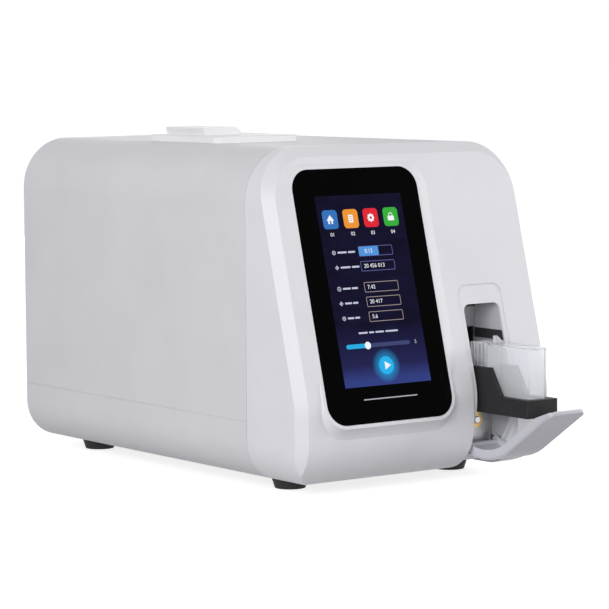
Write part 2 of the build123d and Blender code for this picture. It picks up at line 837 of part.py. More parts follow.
def flap_outline(width):
    # Outline seen from the front, rounded at the tip and running on below the hinge
    with BuildSketch() as outline:
        with Locations((0, flap_up / 2 - flap_corner_radius)):
            RectangleRounded(width, flap_up + 2 * flap_corner_radius, flap_corner_radius)
    return outline.sketch


cover_layer = flap_layer(0.0, flap_cover_thickness, flap_width)
cheek_layer = flap_layer(flap_cover_thickness, flap_cheek_depth, frame_width)
well_layer = flap_layer(flap_cover_thickness + flap_skin, flap_cheek_depth + 1, flap_well_width)

with BuildPart() as flap_cover:
    add(cover_layer)
    with BuildSketch(flap_front_plane):
        add(flap_outline(flap_width))
    extrude(amount=2 * nose_radius, both=True, mode=Mode.INTERSECT)
    with BuildSketch(flap_profile_plane.offset(slot_centre_x)):
        Circle(barrel_radius + fit_gap)
    extrude(amount=flap_width, both=True, mode=Mode.SUBTRACT)
save(flap_cover, "flap_cover")

tip_local = (flap_tip_offset - pivot_offset, flap_up)
cheek_fade = 3 * flap_cheek_depth
with BuildPart() as flap_frame:
    add(cheek_layer)
    add(well_layer, mode=Mode.SUBTRACT)
    # The cheeks run down to the skin at the tip
    with BuildSketch(flap_profile_plane.offset(slot_centre_x)):
        with BuildLine():
            skin_back = (flap_cover_thickness + flap_skin) / cos(lean)
            Polyline(
                (tip_local[0] + skin_back, tip_local[1] + 1),
                (tip_local[0] + skin_back + 2 * flap_cheek_depth, tip_local[1] + 1),
                (tip_local[0] + skin_back + 2 * flap_cheek_depth, tip_local[1] - cheek_fade),
                (
                    tip_local[0] + (flap_cheek_depth + 1) / cos(lean) - cheek_fade * tan(lean),
                    tip_local[1] - cheek_fade,
                ),
                close=True,
            )
        make_face()
    extrude(amount=flap_width, both=True, mode=Mode.SUBTRACT)
    with BuildSketch(flap_front_plane):
        add(flap_outline(frame_width))
    extrude(amount=2 * nose_radius, both=True, mode=Mode.INTERSECT)
    with BuildSketch(flap_profile_plane.offset(slot_centre_x)):
        Circle(barrel_radius)
    extrude(amount=frame_width / 2, both=True)
    with BuildSketch(flap_profile_plane.offset(slot_centre_x)):
        Circle(pivot_pin_radius + pin_running_gap)
    extrude(amount=flap_width, both=True, mode=Mode.SUBTRACT)
save(flap_frame, "flap_frame")

with BuildPart() as flap_pin:
    with BuildSketch(Plane.YZ.offset(slot_left - hinge_boss_width)):
        with Locations((pivot_y, pivot_z)):
            Circle(pivot_pin_radius)
    extrude(amount=slot_width + 2 * hinge_boss_width)
save(flap_pin, "flap_pin")

# Tray, shown out: a low rim in front, then side walls that rise beside the cartridge
tray_bottom_z = underside_z + tray_bottom_height
tray_width = flap_well_width - 2 * tray_side_gap
tray_x = (slot_centre_x - tray_width / 2, slot_centre_x + tray_width / 2)
tray_y = (front_y + tray_front_distance, front_y + tray_front_distance + tray_length)
tray_rim_z = tray_bottom_z + tray_rim_height
tray_wall_z = tray_bottom_z + tray_wall_height
cartridge_y = tray_y[0] + cartridge_front_gap
cartridge_back_y = cartridge_y + cartridge_length
cartridge_tail_y = cartridge_back_y + cartridge_tail_length
cartridge_floor_z = tray_bottom_z + tray_floor
cartridge_top_z = cartridge_floor_z + cartridge_height
pocket_half = cartridge_width / 2 + cartridge_gap

with BuildPart() as tray:
    with BuildSketch(Plane.YZ.offset(slot_centre_x)):
        with BuildLine():
            Polyline(
                (tray_y[0], tray_bottom_z),
                (tray_y[0], tray_rim_z),
                (tray_y[0] + tray_rim_length, tray_rim_z),
                (tray_y[0] + tray_rim_length + tray_slope_length, tray_wall_z),
                (tray_y[1], tray_wall_z),
                (tray_y[1], tray_bottom_z),
                close=True,
            )
        make_face()
    extrude(amount=tray_width / 2, both=True)
    # Wide space between the tall walls, and the pocket that the cartridge stands in
    block(
        (tray_x[0] + tray_wall, tray_x[1] - tray_wall),
        (tray_y[0] + tray_rim_length / 2, tray_y[1] - tray_wall),
        (tray_rim_z, tray_wall_z + 1),
        Mode.SUBTRACT,
    )
    block(
        (slot_centre_x - pocket_half, slot_centre_x + pocket_half),
        (cartridge_y - cartridge_gap, cartridge_tail_y + cartridge_gap),
        (cartridge_floor_z, tray_wall_z + 1),
        Mode.SUBTRACT,
    )
    chamfer(tray.faces().sort_by(Axis.Y)[0].edges().filter_by(Axis.Z), 0.8)
save(tray, "tray")

with BuildPart() as cartridge:
    block(
        (slot_centre_x - cartridge_width / 2, slot_centre_x + cartridge_width / 2),
        (cartridge_y, cartridge_back_y),
        (cartridge_floor_z, cartridge_top_z),
    )
    fillet(cartridge.edges().filter_by(Axis.Z), 1.0)
    fillet(cartridge.faces().sort_by(Axis.Z)[-1].edges(), 0.6)
    # Open chamber inside, reached from below
    block(
        (
            slot_centre_x - cartridge_width / 2 + cartridge_skin,
            slot_centre_x + cartridge_width / 2 - cartridge_skin,
        ),
        (cartridge_y + cartridge_skin, cartridge_back_y - cartridge_skin),
        (cartridge_floor_z - 1, cartridge_top_z - cartridge_skin),
        Mode.SUBTRACT,
    )
save(cartridge, "cartridge")

with BuildPart() as cartridge_tail:
    # Row of reaction wells behind the chamber, seen as upright ribs
    block(
        (slot_centre_x - cartridge_tail_width / 2 + 1, slot_centre_x + cartridge_tail_width / 2 - 1),
        (cartridge_back_y, cartridge_tail_y),
        (cartridge_floor_z, cartridge_top_z - 1),
    )
    rib_pitch = cartridge_tail_length / cartridge_rib_count
    for index in range(cartridge_rib_count):
        rib_y = cartridge_back_y + (index + 0.5) * rib_pitch
        block(
            (slot_centre_x - cartridge_tail_width / 2, slot_centre_x + cartridge_tail_width / 2),
            (rib_y - rib_pitch / 4, rib_y + rib_pitch / 4),
            (cartridge_floor_z, cartridge_top_z),
        )
save(cartridge_tail, "cartridge_tail")

with BuildPart() as sample_holder:
    # Gusset-shaped grip of the sampling stick, standing on the cartridge
    with BuildSketch(Plane.YZ.offset(slot_centre_x)):
        with BuildLine():
            Polyline(
                (cartridge_back_y - holder_length, cartridge_top_z),
                (cartridge_back_y - holder_length, cartridge_top_z + 1),
                (cartridge_back_y - 2, cartridge_top_z + holder_height),
                (cartridge_back_y - 1, cartridge_top_z + holder_height),
                (cartridge_back_y - 1, cartridge_top_z),
                close=True,
            )
        make_face()
    extrude(amount=holder_width / 2, both=True)
save(sample_holder, "sample_holder")

# Tray drive: carriage and nut under the tray's rear, on two rods and a screw
drive_z = tray_bottom_z - rod_drop
carriage_y = (tray_y[1] - carriage_length, tray_y[1])
bracket_front_y = carriage_y[0] - bracket_wall - carriage_to_bearing
bracket_rear_y = carriage_y[1] + tray_travel + carriage_to_wall
bracket_base_z = tray_bottom_z - bracket_base_drop
rod_x = (slot_centre_x - rod_spacing / 2 - 2, slot_centre_x + rod_spacing / 2 + 2)
bearing_radius = screw_radius + bearing_wall

with BuildPart() as tray_carriage:
    block(
        (slot_centre_x - carriage_width / 2, slot_centre_x + carriage_width / 2),
        carriage_y,
        (tray_bottom_z - carriage_height, tray_bottom_z),
    )
    with BuildSketch(across(carriage_y[1])):
        for x in rod_x:
            with Locations((x, drive_z)):
                Circle(rod_radius + running_gap)
        with Locations((slot_centre_x, drive_z)):
            Circle(nut_radius)
    extrude(amount=carriage_length, mode=Mode.SUBTRACT)
save(tray_carriage, "tray_carriage")

with BuildPart() as lead_nut:
    with BuildSketch(across(carriage_y[1])):
        with Locations((slot_centre_x, drive_z)):
            Circle(nut_radius)
    extrude(amount=carriage_length)
    with BuildSketch(across(carriage_y[0])):
        with Locations((slot_centre_x, drive_z)):
            Circle(nut_flange_radius)
    extrude(amount=nut_flange_thickness)
    with BuildSketch(across(carriage_y[1] + 1)):
        with Locations((slot_centre_x, drive_z)):
            Circle(screw_radius + running_gap)
    extrude(amount=carriage_length + nut_flange_thickness + 2, mode=Mode.SUBTRACT)
save(lead_nut, "lead_nut")

with BuildPart() as guide_rods:
    with BuildSketch(across(bracket_rear_y)):
        for x in rod_x:
            with Locations((x, drive_z)):
                Circle(rod_radius)
    extrude(amount=bracket_rear_y - bracket_front_y)
save(guide_rods, "guide_rods")

reader_clear = tray_width / 2 + reader_side_gap
bracket_half = reader_clear + reader_wall
bracket_x = (slot_centre_x - bracket_half, slot_centre_x + bracket_half)
drive_wall_half = carriage_width / 2 + 4
with BuildPart() as drive_bracket:
    # Base plate with folded legs down to the chassis plate
    block(bracket_x, (bracket_front_y, bracket_rear_y), (bracket_base_z - bracket_wall, bracket_base_z))
    for x in (
        (bracket_x[0], bracket_x[0] + bracket_wall),
        (bracket_x[1] - bracket_wall, bracket_x[1]),
    ):
        block(x, (chassis_y[0], bracket_rear_y), (chassis_z + chassis_thickness, bracket_base_z))
    # Upright ends that hold the rods, the bearing and the motor
    for y in (
        (bracket_front_y, bracket_front_y + bracket_wall),
        (bracket_rear_y - bracket_wall, bracket_rear_y),
    ):
        block(
            (slot_centre_x - drive_wall_half, slot_centre_x + drive_wall_half),
            y,
            (bracket_base_z, tray_bottom_z - seat_gap),
        )
    with BuildSketch(across(bracket_rear_y + 1)):
        for x in rod_x:
            with Locations((x, drive_z)):
                Circle(rod_radius)
        with Locations((slot_centre_x, drive_z)):
            Circle(bearing_radius)
    extrude(amount=bracket_rear_y - bracket_front_y + 2, mode=Mode.SUBTRACT)
save(drive_bracket, "drive_bracket")

with BuildPart() as screw_bearing:
    with BuildSketch(across(bracket_front_y + bracket_wall)):
        with Locations((slot_centre_x, drive_z)):
            Circle(bearing_radius)
            Circle(screw_radius + running_gap, mode=Mode.SUBTRACT)
    extrude(amount=bearing_length)
save(screw_bearing, "screw_bearing")

motor_y = (bracket_rear_y, bracket_rear_y + motor_length)
with BuildPart() as tray_motor:
    with BuildSketch(across(motor_y[1])):
        with Locations((slot_centre_x, drive_z)):
            RectangleRounded(motor_size, motor_size, 3)
    extrude(amount=motor_length)
    with BuildSketch(across(motor_y[0])):
        with Locations((slot_centre_x, drive_z)):
            Circle(bearing_radius)
    extrude(amount=bracket_wall)
    with BuildSketch(across(motor_y[1] + 1)):
        with Locations((slot_centre_x, drive_z)):
            Circle(screw_radius + running_gap)
    extrude(amount=motor_length + bracket_wall + 2, mode=Mode.SUBTRACT)
save(tray_motor, "tray_motor")

with BuildPart() as lead_screw:
    with BuildSketch(across(motor_y[1] + 3)):
        with Locations((slot_centre_x, drive_z)):
            Circle(screw_radius)
    extrude(amount=motor_y[1] + 3 - bracket_front_y + bearing_length)
save(lead_screw, "lead_screw")

# Reader: a heated block that straddles the tray once it is in
reader_y = (carriage_y[0] + reader_set_back, carriage_y[0] + reader_set_back + reader_length)
reader_channel_z = cartridge_top_z + reader_top_gap
reader_top_z = cartridge_top_z + reader_roof
light_z = (tray_wall_z + cartridge_top_z) / 2
light_y = (reader_y[0] + reader_y[1]) / 2
with BuildPart() as reader_block:
    block(bracket_x, reader_y, (bracket_base_z, reader_top_z))
    block(
        (slot_centre_x - reader_clear, slot_centre_x + reader_clear),
        (reader_y[0] - 1, reader_y[1] + 1),
        (bracket_base_z - 1, reader_channel_z),
        Mode.SUBTRACT,
    )
    chamfer(reader_block.faces().sort_by(Axis.Z)[-1].edges(), 2)
    with BuildSketch(Plane.YZ.offset(bracket_x[0] - 1)):
        with Locations((light_y, light_z)):
            Circle(light_hole_radius)
    extrude(amount=2 * bracket_half + 2, mode=Mode.SUBTRACT)
save(reader_block, "reader_block")

with BuildPart() as lamp_module:
    with BuildSketch(Plane.YZ.offset(bracket_x[0])):
        with Locations((light_y, light_z)):
            Circle(lamp_radius)
    extrude(amount=-lamp_length)
    with BuildSketch(Plane.YZ.offset(bracket_x[0] - lamp_length)):
        with Locations((light_y, light_z)):
            Rectangle(*lamp_board)
    extrude(amount=-board_thickness)
save(lamp_module, "lamp_module")

with BuildPart() as detector_board:
    with BuildSketch(Plane.YZ.offset(bracket_x[1])):
        with Locations((light_y, light_z)):
            Rectangle(*detector_board_size)
    extrude(amount=board_thickness)
    with BuildSketch(Plane.YZ.offset(bracket_x[1] + board_thickness)):
        with Locations((light_y, light_z)):
            Rectangle(*detector_chip)
            with Locations(amplifier_offset):
                Rectangle(*amplifier_chip)
    extrude(amount=chip_height)
save(detector_board, "detector_board")

with BuildPart() as heater_plate:
    block(
        (slot_centre_x - reader_clear, slot_centre_x + reader_clear),
        (reader_y[0] + 4, reader_y[1] - 4),
        (reader_top_z, reader_top_z + heater_thickness),
    )
save(heater_plate, "heater_plate")

# Liner of the tray mouth: two side walls and a roof behind the face
liner_floor_z = pivot_z + hinge_boss_radius + 1
liner_rear_y = front_y + face_offset(tray_bottom_z, face_setback + housing_wall) + liner_depth
with BuildPart() as slot_liner:
    block(
        (slot_left - liner_wall, slot_right + liner_wall),
        (liner_rear_y - 2 * liner_depth, liner_rear_y),
        (liner_floor_z, underside_z + slot_top_height + liner_wall),
    )
    add(front_inner, mode=Mode.INTERSECT)
    block(
        (slot_left, slot_right),
        (liner_rear_y - 2 * liner_depth - 1, liner_rear_y + 1),
        (liner_floor_z - 1, underside_z + slot_top_height),
        Mode.SUBTRACT,
    )
save(slot_liner, "slot_liner")

with BuildPart() as guide_strips:
    # Dark rubbing strips inside both liner walls, above the cartridge's top
    strip_z = underside_z + slot_top_height - strip_drop
    for x in ((slot_left, slot_left + strip_thickness), (slot_right - strip_thickness, slot_right)):
        block(x, (liner_rear_y - 2 * liner_depth, liner_rear_y - 1), (strip_z, strip_z + strip_height))
    add(front_inner, mode=Mode.INTERSECT)
save(guide_strips, "guide_strips")

# Chassis plate with the boards and the power supply
chassis_top_z = chassis_z + chassis_thickness
board_z = chassis_top_z + board_standoff_height
board_x = (chassis_x[0] + board_inset, chassis_x[0] + board_inset + main_board_width)
board_y = (chassis_y[0] + board_front_gap, chassis_y[0] + board_front_gap + main_board_length)
board_holes = [
    (x, y)
    for x in (board_x[0] + board_hole_inset, board_x[1] - board_hole_inset)
    for y in (board_y[0] + board_hole_inset, board_y[1] - board_hole_inset)
]

with BuildPart() as chassis_plate:
    block(chassis_x, chassis_y, (chassis_z, chassis_top_z))
    fillet(chassis_plate.edges().filter_by(Axis.Z), chassis_corner_radius)
    with BuildSketch(Plane.XY.offset(chassis_z)):
        with Locations(*chassis_bosses):
            Circle(chassis_screw_radius)
    extrude(amount=chassis_thickness, mode=Mode.SUBTRACT)
save(chassis_plate, "chassis_plate")

with BuildPart() as chassis_screws:
    with BuildSketch(Plane.XY.offset(underside_z + housing_wall / 2)):
        with Locations(*chassis_bosses):
            Circle(chassis_screw_radius)
    extrude(amount=chassis_top_z - underside_z - housing_wall / 2)
    with BuildSketch(Plane.XY.offset(chassis_top_z)):
        with Locations(*chassis_bosses):
            Circle(2 * chassis_screw_radius)
    extrude(amount=2)
save(chassis_screws, "chassis_screws")

with BuildPart() as board_standoffs:
    with BuildSketch(Plane.XY.offset(chassis_top_z)):
        with Locations(*board_holes):
            RegularPolygon(2 * board_hole_radius, 6)
    extrude(amount=board_standoff_height)
save(board_standoffs, "board_standoffs")

with BuildPart() as main_board:
    block(board_x, board_y, (board_z, board_z + board_thickness))
    with BuildSketch(Plane.XY.offset(board_z)):
        with Locations(*board_holes):
            Circle(board_hole_radius)
    extrude(amount=board_thickness, mode=Mode.SUBTRACT)
save(main_board, "main_board")

with BuildPart() as board_components:
    board_top_z = board_z + board_thickness
    for x, y, width, length, height in component_table:
        low = (board_x[0] + x - width / 2, board_y[0] + y - length / 2)
        block((low[0], low[0] + width), (low[1], low[1] + length), (board_top_z, board_top_z + height))
save(board_components, "board_components")

with BuildPart() as power_supply:
    supply_x = (chassis_x[0] + supply_inset, chassis_x[0] + supply_inset + supply_width)
    supply_y = (chassis_y[1] - supply_rear_gap - supply_length, chassis_y[1] - supply_rear_gap)
    block(supply_x, supply_y, (chassis_top_z, chassis_top_z + supply_height))
    chamfer(power_supply.edges().filter_by(Axis.Y), 1)
    # Vent slots in the cover
    with BuildSketch(Plane.XY.offset(chassis_top_z + supply_height)):
        with Locations(((supply_x[0] + supply_x[1]) / 2, (supply_y[0] + supply_y[1]) / 2)):
            with GridLocations(24, 8, 3, 10):
                SlotOverall(18, 3)
    extrude(amount=-1, mode=Mode.SUBTRACT)
save(power_supply, "power_supply")

# Rear panel, in its seat in the upper housing
panel_inner_y = rear_y - panel_thickness
flange_y = rear_y + rear_projection
panel_screw_positions = [
    (x, panel_middle_z + up)
    for x in (-(panel_width - panel_ledge) / 2, 0, (panel_width - panel_ledge) / 2)
    for up in (-(panel_height - panel_ledge) / 2, (panel_height - panel_ledge) / 2)
]
inlet_place = (inlet_x, underside_z + inlet_height)
switch_place = (switch_x, underside_z + inlet_height)
fan_place = (fan_x, underside_z + fan_height)
usb_place = (usb_x, underside_z + port_height)
network_place = (network_x, underside_z + port_height)
inlet_body = (inlet_opening_width + 2 * socket_wall, inlet_opening_height + 2 * socket_wall)
rocker_cavity = (rocker_width + 2 * seat_gap, 2 * (rocker_radius + seat_gap))
switch_body = (rocker_cavity[0] + 2 * socket_wall, rocker_cavity[1] + 2 * socket_wall)
fan_holes = [
    (fan_x + side * fan_hole_spacing / 2, underside_z + fan_height + up * fan_hole_spacing / 2)
    for side in (-1, 1)
    for up in (-1, 1)
]

with BuildPart() as rear_panel:
    with BuildSketch(across(rear_y)):
        with Locations((0, panel_middle_z)):
            RectangleRounded(panel_width, panel_height, 2)
        with Locations(fan_place):
            Circle(fan_bore_radius - 1, mode=Mode.SUBTRACT)
        with Locations(inlet_place):
            Rectangle(inlet_body[0] + 2 * fit_gap, inlet_body[1] + 2 * fit_gap, mode=Mode.SUBTRACT)
        with Locations(switch_place):
            Rectangle(switch_body[0] + 2 * fit_gap, switch_body[1] + 2 * fit_gap, mode=Mode.SUBTRACT)
        for side in (-usb_pitch / 2, usb_pitch / 2):
            with Locations((usb_place[0], usb_place[1] + side)):
                Rectangle(usb_opening[0] + 0.6, usb_opening[1] + 0.6, mode=Mode.SUBTRACT)
        with Locations(network_place):
            Rectangle(network_opening[0] + 0.6, network_opening[1] + 0.6, mode=Mode.SUBTRACT)
        with Locations((inlet_x + 8, underside_z + fan_height + 22)):
            with GridLocations(2 * vent_slot_width + 1, 0, vent_slot_count, 1):
                SlotOverall(vent_slot_length, vent_slot_width, rotation=90, mode=Mode.SUBTRACT)
        with Locations(*panel_screw_positions):
            Circle(panel_screw_radius, mode=Mode.SUBTRACT)
        with Locations(*fan_holes):
            Circle(fan_screw_radius, mode=Mode.SUBTRACT)
    extrude(amount=panel_thickness)
save(rear_panel, "rear_panel")

with BuildPart() as panel_screws:
    with BuildSketch(across(rear_y)):
        with Locations(*panel_screw_positions):
            Circle(panel_screw_head_radius)
    extrude(amount=-rear_projection)
    with BuildSketch(across(rear_y)):
        with Locations(*panel_screw_positions):
            Circle(panel_screw_radius)
    extrude(amount=panel_thickness)
    with BuildSketch(across(flange_y)):
        with Locations(*panel_screw_positions):
            Rectangle(panel_screw_slot[0], panel_screw_slot[1])
            Rectangle(panel_screw_slot[1], panel_screw_slot[0])
    extrude(amount=screw_slot_depth, mode=Mode.SUBTRACT)
save(panel_screws, "panel_screws")

with BuildPart() as power_inlet:
    with BuildSketch(across(rear_y)):
        with Locations(inlet_place):
            RectangleRounded(inlet_body[0] + 5, inlet_body[1] + 5, 2)
    extrude(amount=-rear_projection)
    with BuildSketch(across(rear_y)):
        with Locations(inlet_place):
            Rectangle(*inlet_body)
    extrude(amount=inlet_depth)
    with BuildSketch(across(flange_y)):
        with Locations(inlet_place):
            Rectangle(inlet_opening_width, inlet_opening_height)
    extrude(amount=inlet_depth, mode=Mode.SUBTRACT)
    with BuildSketch(across(rear_y - inlet_depth + rear_projection)):
        with Locations(inlet_place):
            with Locations(*inlet_pin_places):
                Rectangle(*inlet_pin)
    extrude(amount=-inlet_depth + 3 * rear_projection)
save(power_inlet, "power_inlet")

rocker_pivot_y = flange_y - rocker_middle - rocker_sink
with BuildPart() as switch_frame:
    with BuildSketch(across(rear_y)):
        with Locations(switch_place):
            RectangleRounded(switch_body[0] + 4, switch_body[1] + 4, 1.5)
    extrude(amount=-rear_projection)
    with BuildSketch(across(rear_y)):
        with Locations(switch_place):
            Rectangle(*switch_body)
    extrude(amount=switch_depth)
    with BuildSketch(across(flange_y)):
        with Locations(switch_place):
            Rectangle(*rocker_cavity)
    extrude(amount=switch_depth, mode=Mode.SUBTRACT)
    with BuildSketch(Plane.YZ.offset(switch_x)):
        with Locations((rocker_pivot_y, switch_place[1])):
            Circle(pivot_pin_radius)
    extrude(amount=switch_body[0] / 2, both=True)
save(switch_frame, "switch_frame")

with BuildPart() as power_rocker:
    # Shown in the off position, tilted by half its throw
    rest_tilt = radians(rocker_throw / 2)
    rocker_plane = Plane(
        origin=(switch_x, rocker_pivot_y, switch_place[1]),
        x_dir=(0, cos(rest_tilt), sin(rest_tilt)),
        z_dir=(1, 0, 0),
    )
    with BuildSketch(rocker_plane):
        with BuildLine():
            rise = rocker_radius * tan(rest_tilt)
            Polyline(
                (rocker_middle, 0),
                (rocker_middle + rise, rocker_radius),
                (-rocker_middle, rocker_radius),
                (-rocker_middle, -rocker_radius),
                (rocker_middle + rise, -rocker_radius),
                close=True,
            )
        make_face()
        Circle(rocker_radius, mode=Mode.INTERSECT)
        Circle(pivot_pin_radius + pin_running_gap, mode=Mode.SUBTRACT)
    extrude(amount=rocker_width / 2, both=True)
save(power_rocker, "power_rocker")

with BuildPart() as usb_ports:
    with BuildSketch(across(panel_inner_y)):
        with Locations(usb_place):
            Rectangle(usb_opening[0] + 2.4, usb_opening[1] + usb_pitch + 2.4)
        for side in (-usb_pitch / 2, usb_pitch / 2):
            with Locations((usb_place[0], usb_place[1] + side)):
                Rectangle(*usb_opening, mode=Mode.SUBTRACT)
    extrude(amount=port_depth)
    with BuildSketch(across(panel_inner_y - port_depth)):
        with Locations(usb_place):
            Rectangle(usb_opening[0] + 2.4, usb_opening[1] + usb_pitch + 2.4)
    extrude(amount=1.5)
    with BuildSketch(across(panel_inner_y - port_depth)):
        for side in (-usb_pitch / 2, usb_pitch / 2):
            with Locations((usb_place[0], usb_place[1] + side + 0.8)):
                Rectangle(usb_opening[0] - 2.4, 1.6)
    extrude(amount=-port_depth + 2)
save(usb_ports, "usb_ports")

with BuildPart() as network_port:
    with BuildSketch(across(panel_inner_y)):
        with Locations(network_place):
            Rectangle(network_opening[0] + 4, network_opening[1] + 4)
            Rectangle(*network_opening, mode=Mode.SUBTRACT)
    extrude(amount=port_depth)
    with BuildSketch(across(panel_inner_y - port_depth)):
        with Locations(network_place):
            Rectangle(network_opening[0] + 4, network_opening[1] + 4)
    extrude(amount=1.5)
save(network_port, "network_port")

# Fan behind the panel, with a wire guard outside
fan_front_y = panel_inner_y - fan_depth
with BuildPart() as fan_frame:
    with BuildSketch(across(panel_inner_y)):
        with Locations(fan_place):
            RectangleRounded(fan_size, fan_size, 4)
            Circle(fan_bore_radius, mode=Mode.SUBTRACT)
        with Locations(*fan_holes):
            Circle(fan_screw_radius, mode=Mode.SUBTRACT)
    extrude(amount=fan_depth)
    with BuildSketch(across(fan_front_y + bracket_wall)):
        with Locations(fan_place):
            Circle(fan_hub_radius)
            Rectangle(2 * fan_bore_radius + 1, fan_strut_width)
            Rectangle(fan_strut_width, 2 * fan_bore_radius + 1)
    extrude(amount=bracket_wall)
    with BuildSketch(across(fan_front_y + bracket_wall)):
        with Locations(fan_place):
            Circle(fan_axle_radius)
    extrude(amount=-(fan_depth - 2 * bracket_wall - 2))
save(fan_frame, "fan_frame")

rotor_length = fan_depth - 2 * bracket_wall - 1
with BuildPart() as fan_rotor:
    with BuildSketch(across(fan_front_y + bracket_wall + seat_gap)):
        with Locations(fan_place):
            Circle(fan_hub_radius)
    extrude(amount=-rotor_length)
    blade_y = fan_front_y + bracket_wall + seat_gap + rotor_length / 2
    blade_turn = radians(fan_blade_angle)
    for index in range(fan_blade_count):
        angle = 2 * pi * index / fan_blade_count
        outward = (cos(angle), 0, sin(angle))
        around = (-sin(angle), 0, cos(angle))
        chord = (around[0] * cos(blade_turn), sin(blade_turn), around[2] * cos(blade_turn))
        blade_root = (
            fan_x + outward[0] * fan_blade_root,
            blade_y,
            fan_place[1] + outward[2] * fan_blade_root,
        )
        with BuildSketch(Plane(origin=blade_root, x_dir=chord, z_dir=outward)):
            Rectangle(fan_blade_chord, fan_blade_thickness)
        extrude(amount=fan_bore_radius - fan_blade_root - fan_tip_gap)
    with BuildSketch(across(fan_front_y)):
        with Locations(fan_place):
            Circle(fan_axle_radius + pin_running_gap)
    extrude(amount=-(fan_depth - bracket_wall - 1.5), mode=Mode.SUBTRACT)
save(fan_rotor, "fan_rotor")

with BuildPart() as fan_guard:
    with BuildSketch(across(flange_y)):
        with Locations(fan_place):
            for radius in guard_radii:
                Circle(radius + guard_wire / 2)
                Circle(radius - guard_wire / 2, mode=Mode.SUBTRACT)
            with PolarLocations(0, 4, start_angle=45):
                with Locations((guard_spoke_middle, 0)):
                    Rectangle(guard_spoke_length, guard_wire)
        with Locations(*fan_holes):
            Circle(fan_screw_head_radius + 1.2)
            Circle(fan_screw_radius, mode=Mode.SUBTRACT)
    extrude(amount=rear_projection)
    with BuildSketch(across(flange_y)):
        with Locations(*fan_holes):
            Circle(fan_screw_head_radius)
    extrude(amount=fan_screw_head_height, mode=Mode.SUBTRACT)
save(fan_guard, "fan_guard")

with BuildPart() as fan_screws:
    # Sunk in the guard's lugs, through the panel and the fan's corners
    with BuildSketch(across(flange_y)):
        with Locations(*fan_holes):
            Circle(fan_screw_head_radius)
    extrude(amount=fan_screw_head_height)
    with BuildSketch(across(flange_y - fan_screw_head_height)):
        with Locations(*fan_holes):
            Circle(fan_screw_radius)
    extrude(amount=rear_projection - fan_screw_head_height + panel_thickness + fan_depth)
    with BuildSketch(across(flange_y)):
        with Locations(*fan_holes):
            Rectangle(fan_screw_slot[0], fan_screw_slot[1])
            Rectangle(fan_screw_slot[1], fan_screw_slot[0])
    extrude(amount=0.7, mode=Mode.SUBTRACT)
save(fan_screws, "fan_screws")

# Receipt printer in the top
bezel_y = (front_y + printer_front_distance, front_y + printer_front_distance + printer_length)
bezel_top_z = top_z + bezel_height
bay_floor_z = top_z - bay_depth
hinge_x = printer_centre_x - printer_width / 2 + hinge_inset_x
hinge_z = top_z + hinge_height
trough_x = hinge_x - lid_thickness - lid_edge_gap
lid_right_x = bay_x[1] - slit_width
lid_open_y = (bay_y[0] + bay_wall, bay_y[1] - bay_wall)
lid_y = (lid_open_y[0] + lid_edge_gap, lid_open_y[1] - lid_edge_gap)
lid_under_z = bezel_top_z - lid_thickness
platen_x = lid_right_x - platen_inset
platen_z = lid_under_z - platen_drop

with BuildPart() as printer_base:
    with BuildSketch(Plane.XY.offset(top_z)):
        with Locations((printer_centre_x, (bezel_y[0] + bezel_y[1]) / 2)):
            RectangleRounded(printer_width, printer_length, bezel_corner_radius)
    extrude(amount=bezel_height)
    fillet(printer_base.faces().sort_by(Axis.Z)[-1].edges(), 2)
    block(bay_x, bay_y, (bay_floor_z, top_z))
    block(
        (bay_x[0] + bay_wall, bay_x[1] - bay_wall),
        lid_open_y,
        (bay_floor_z + bay_wall, bezel_top_z + 1),
        Mode.SUBTRACT,
    )
    # Opening for the lid and the trough for its knuckles
    block((trough_x, bay_x[1]), lid_open_y, (top_z + lid_edge_gap, bezel_top_z + 1), Mode.SUBTRACT)
    with BuildSketch(across(lid_open_y[1] + lid_pin_reach)):
        with Locations((hinge_x, hinge_z)):
            Circle(lid_pin_radius)
    extrude(amount=lid_open_y[1] - lid_open_y[0] + 2 * lid_pin_reach, mode=Mode.SUBTRACT)
save(printer_base, "printer_base")

with BuildPart() as lid_pin:
    with BuildSketch(across(lid_open_y[1] + lid_pin_reach)):
        with Locations((hinge_x, hinge_z)):
            Circle(lid_pin_radius)
    extrude(amount=lid_open_y[1] - lid_open_y[0] + 2 * lid_pin_reach)
save(lid_pin, "lid_pin")

